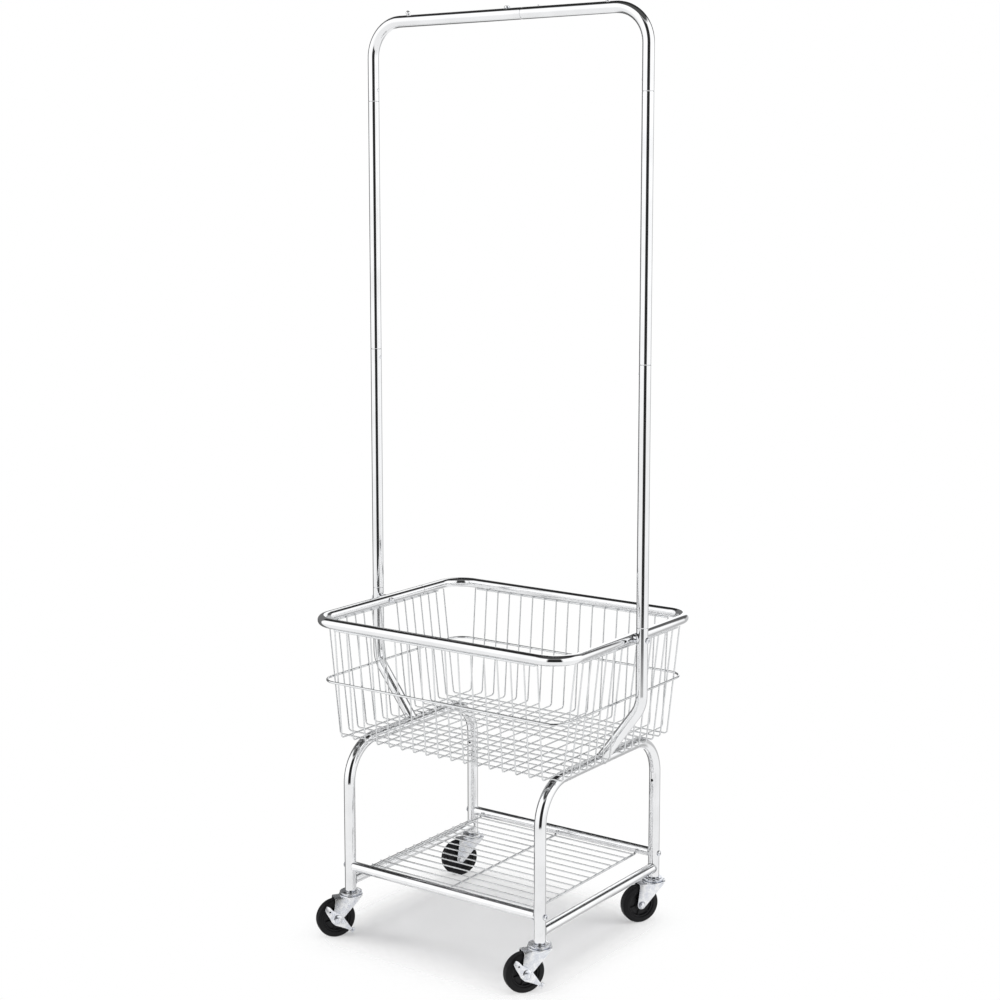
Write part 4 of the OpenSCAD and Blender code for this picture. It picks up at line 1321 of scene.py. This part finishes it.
class CART_OT_stage(bpy.types.Operator):
    """Pale floor with a painted shadow under the cart, soft studio light and the camera"""

    bl_idname = "cart.stage"
    bl_label = "Stage"

    def execute(self, context):
        scene = context.scene
        stage = scene.cart_stage
        scene.view_settings.view_transform = "Standard"
        bm = bmesh.new()
        bmesh.ops.create_circle(bm, cap_ends=True, segments=128, radius=30.0)
        mesh = bpy.data.meshes.new("floor")
        bm.to_mesh(mesh)
        bm.free()
        floor = bpy.data.objects.new("floor", mesh)
        scene.collection.objects.link(floor)
        f = Finish("floor_with_painted_shadow")
        here = f.place()
        wide, deep = f.part(here, 0), f.part(here, 1)
        wide, deep = wide.maths("ABSOLUTE", wide + 0.02), deep.maths("ABSOLUTE", deep + 0.02)
        f.set(Base_Color=rgba(stage.floor), Roughness=0.7 + 0.05 * f.noise(here, 6, 2), Specular_IOR_Level=0.2)
        # Painted shadow: the floor is opaque only in a soft square just under the cart, set a little towards the
        # front left, and fades to transparent around it where the white ground shows, so this grey square stands in
        # for the cart's shadow.
        patch = (1 - wide.step(0.17, 0.36)) * (1 - deep.step(0.15, 0.35))
        f.layer("Material Output", 1 - patch * patch, f.node("ShaderNodeBsdfTransparent"))
        mesh.materials.append(f.material)
        self.world(scene, stage)
        self.lamps(scene, stage)
        self.camera(scene, stage)
        return {"FINISHED"}

    def world(self, scene, stage):
        """White behind the cart. Reflections see bright walls, a dark gap where the viewer stands and dark edges."""
        world = bpy.data.worlds.new("studio")
        scene.world = world
        f = Finish("studio", world)
        way = f.node("ShaderNodeTexCoord", output="Generated")
        height = f.part(way, 2)
        flat = f.vector("NORMALIZE", f.vector("MULTIPLY", way, (1, 1, 0)))
        facing = f.vector("DOT_PRODUCT", flat, (0.577, -0.816, 0), output="Value")
        across = f.vector("DOT_PRODUCT", flat, (0.816, 0.577, 0), output="Value")
        level = 1 - height.maths("ABSOLUTE", height).step(0.60, 0.85)
        viewer = facing.step(0.86, 0.93) * level * height.step(-0.31, -0.22)
        on_left = across.maths("LESS_THAN", across, 0.0)
        raised = height.step(0.02, 0.25)
        left = (-0.36 - facing).step(0.0, 0.12) * on_left
        right = (-0.36 - facing).step(0.0, 0.12) * (0.93 + facing).step(0.0, 0.1) * (1 - on_left)
        above = height.step(0.70, 0.80)
        behind = (-0.10 - facing).step(0.0, 0.3) * height.step(0.55, 0.70)
        shade = viewer * 0.98 + level * (left * 0.85 + right * (0.45 + 0.45 * raised)) + above * 0.93 + behind * 0.6
        tone = shade.maths("MAXIMUM", 1 - shade, 0.02) * (0.80 + 0.20 * height.step(-0.35, 0.2))
        grey = f.node("ShaderNodeCombineColor", None, {0: tone, 1: tone, 2: tone})
        f.set(Color=grey, Strength=1.25 * stage.light)
        white = f.node("ShaderNodeBackground", None, {"Color": (1, 1, 1, 1), "Strength": 1.0})
        f.layer("World Output", f.node("ShaderNodeLightPath", output="Is Camera Ray"), white)

    def lamps(self, scene, stage):
        """A broad lamp overhead and two tall ones at the sides."""
        for name, place, size, tall, watts in (
            ("overhead", (0.2, -0.3, 3.4), 2.6, 2.6, 60),
            ("left_bank", (-3.0, -1.2, 1.7), 1.2, 2.6, 28),
            ("right_bank", (2.8, 1.9, 1.7), 1.2, 2.6, 22),
        ):
            lamp = bpy.data.lights.new(name, "AREA")
            lamp.shape = "RECTANGLE"
            lamp.size, lamp.size_y = size, tall
            lamp.energy = watts * stage.light
            lamp.use_shadow = True
            holder = bpy.data.objects.new(name, lamp)
            holder.location = place
            aim = Vector((0, 0, 0.7)) - Vector(place)
            holder.rotation_euler = aim.to_track_quat("-Z", "Y").to_euler()
            holder.visible_glossy = False
            scene.collection.objects.link(holder)

    def camera(self, scene, stage):
        camera = bpy.data.cameras.new("camera")
        camera.lens = stage.lens
        camera.sensor_width = 36.0
        camera.shift_y = stage.shift
        camera.clip_start, camera.clip_end = 0.05, 100
        holder = bpy.data.objects.new("camera", camera)
        holder.location = stage.place
        holder.rotation_euler = stage.aim
        scene.collection.objects.link(holder)
        scene.camera = holder


OPERATORS = (
    CART_OT_hanging_bar, CART_OT_bar_fittings, CART_OT_poles, CART_OT_snap_buttons, CART_OT_end_frames,
    CART_OT_rails, CART_OT_bolts, CART_OT_basket_rim, CART_OT_basket_wires, CART_OT_shelf, CART_OT_caster_tops,
    CART_OT_forks, CART_OT_wheels, CART_OT_axles, CART_OT_brake_levers, CART_OT_plain_nodes, CART_OT_stage,
)


class CART_PT_panel(bpy.types.Panel):
    """Every step of the cart, in order"""

    bl_label = "Laundry cart"
    bl_idname = "CART_PT_panel"
    bl_space_type = "VIEW_3D"
    bl_region_type = "UI"
    bl_category = "Laundry cart"

    def draw(self, context):
        column = self.layout.column(align=True)
        for operator in OPERATORS:
            column.operator(operator.bl_idname)
        for group in (context.scene.cart_sizes, context.scene.cart_colours, context.scene.cart_stage):
            box = self.layout.box()
            for name in group.__annotations__:
                box.prop(group, name)


CLASSES = (CartSizes, CartColours, CartStage) + OPERATORS + (CART_PT_panel,)


def register():
    for item in CLASSES:
        bpy.utils.register_class(item)
    bpy.types.Scene.cart_sizes = PointerProperty(type=CartSizes)
    bpy.types.Scene.cart_colours = PointerProperty(type=CartColours)
    bpy.types.Scene.cart_stage = PointerProperty(type=CartStage)


def unregister():
    del bpy.types.Scene.cart_stage
    del bpy.types.Scene.cart_colours
    del bpy.types.Scene.cart_sizes
    for item in reversed(CLASSES):
        bpy.utils.unregister_class(item)


def main():
    register()
    make_finishes()
    for operator in OPERATORS:
        group, name = operator.bl_idname.split(".")
        getattr(getattr(bpy.ops, group), name)()


if __name__ == "__main__":
    main()
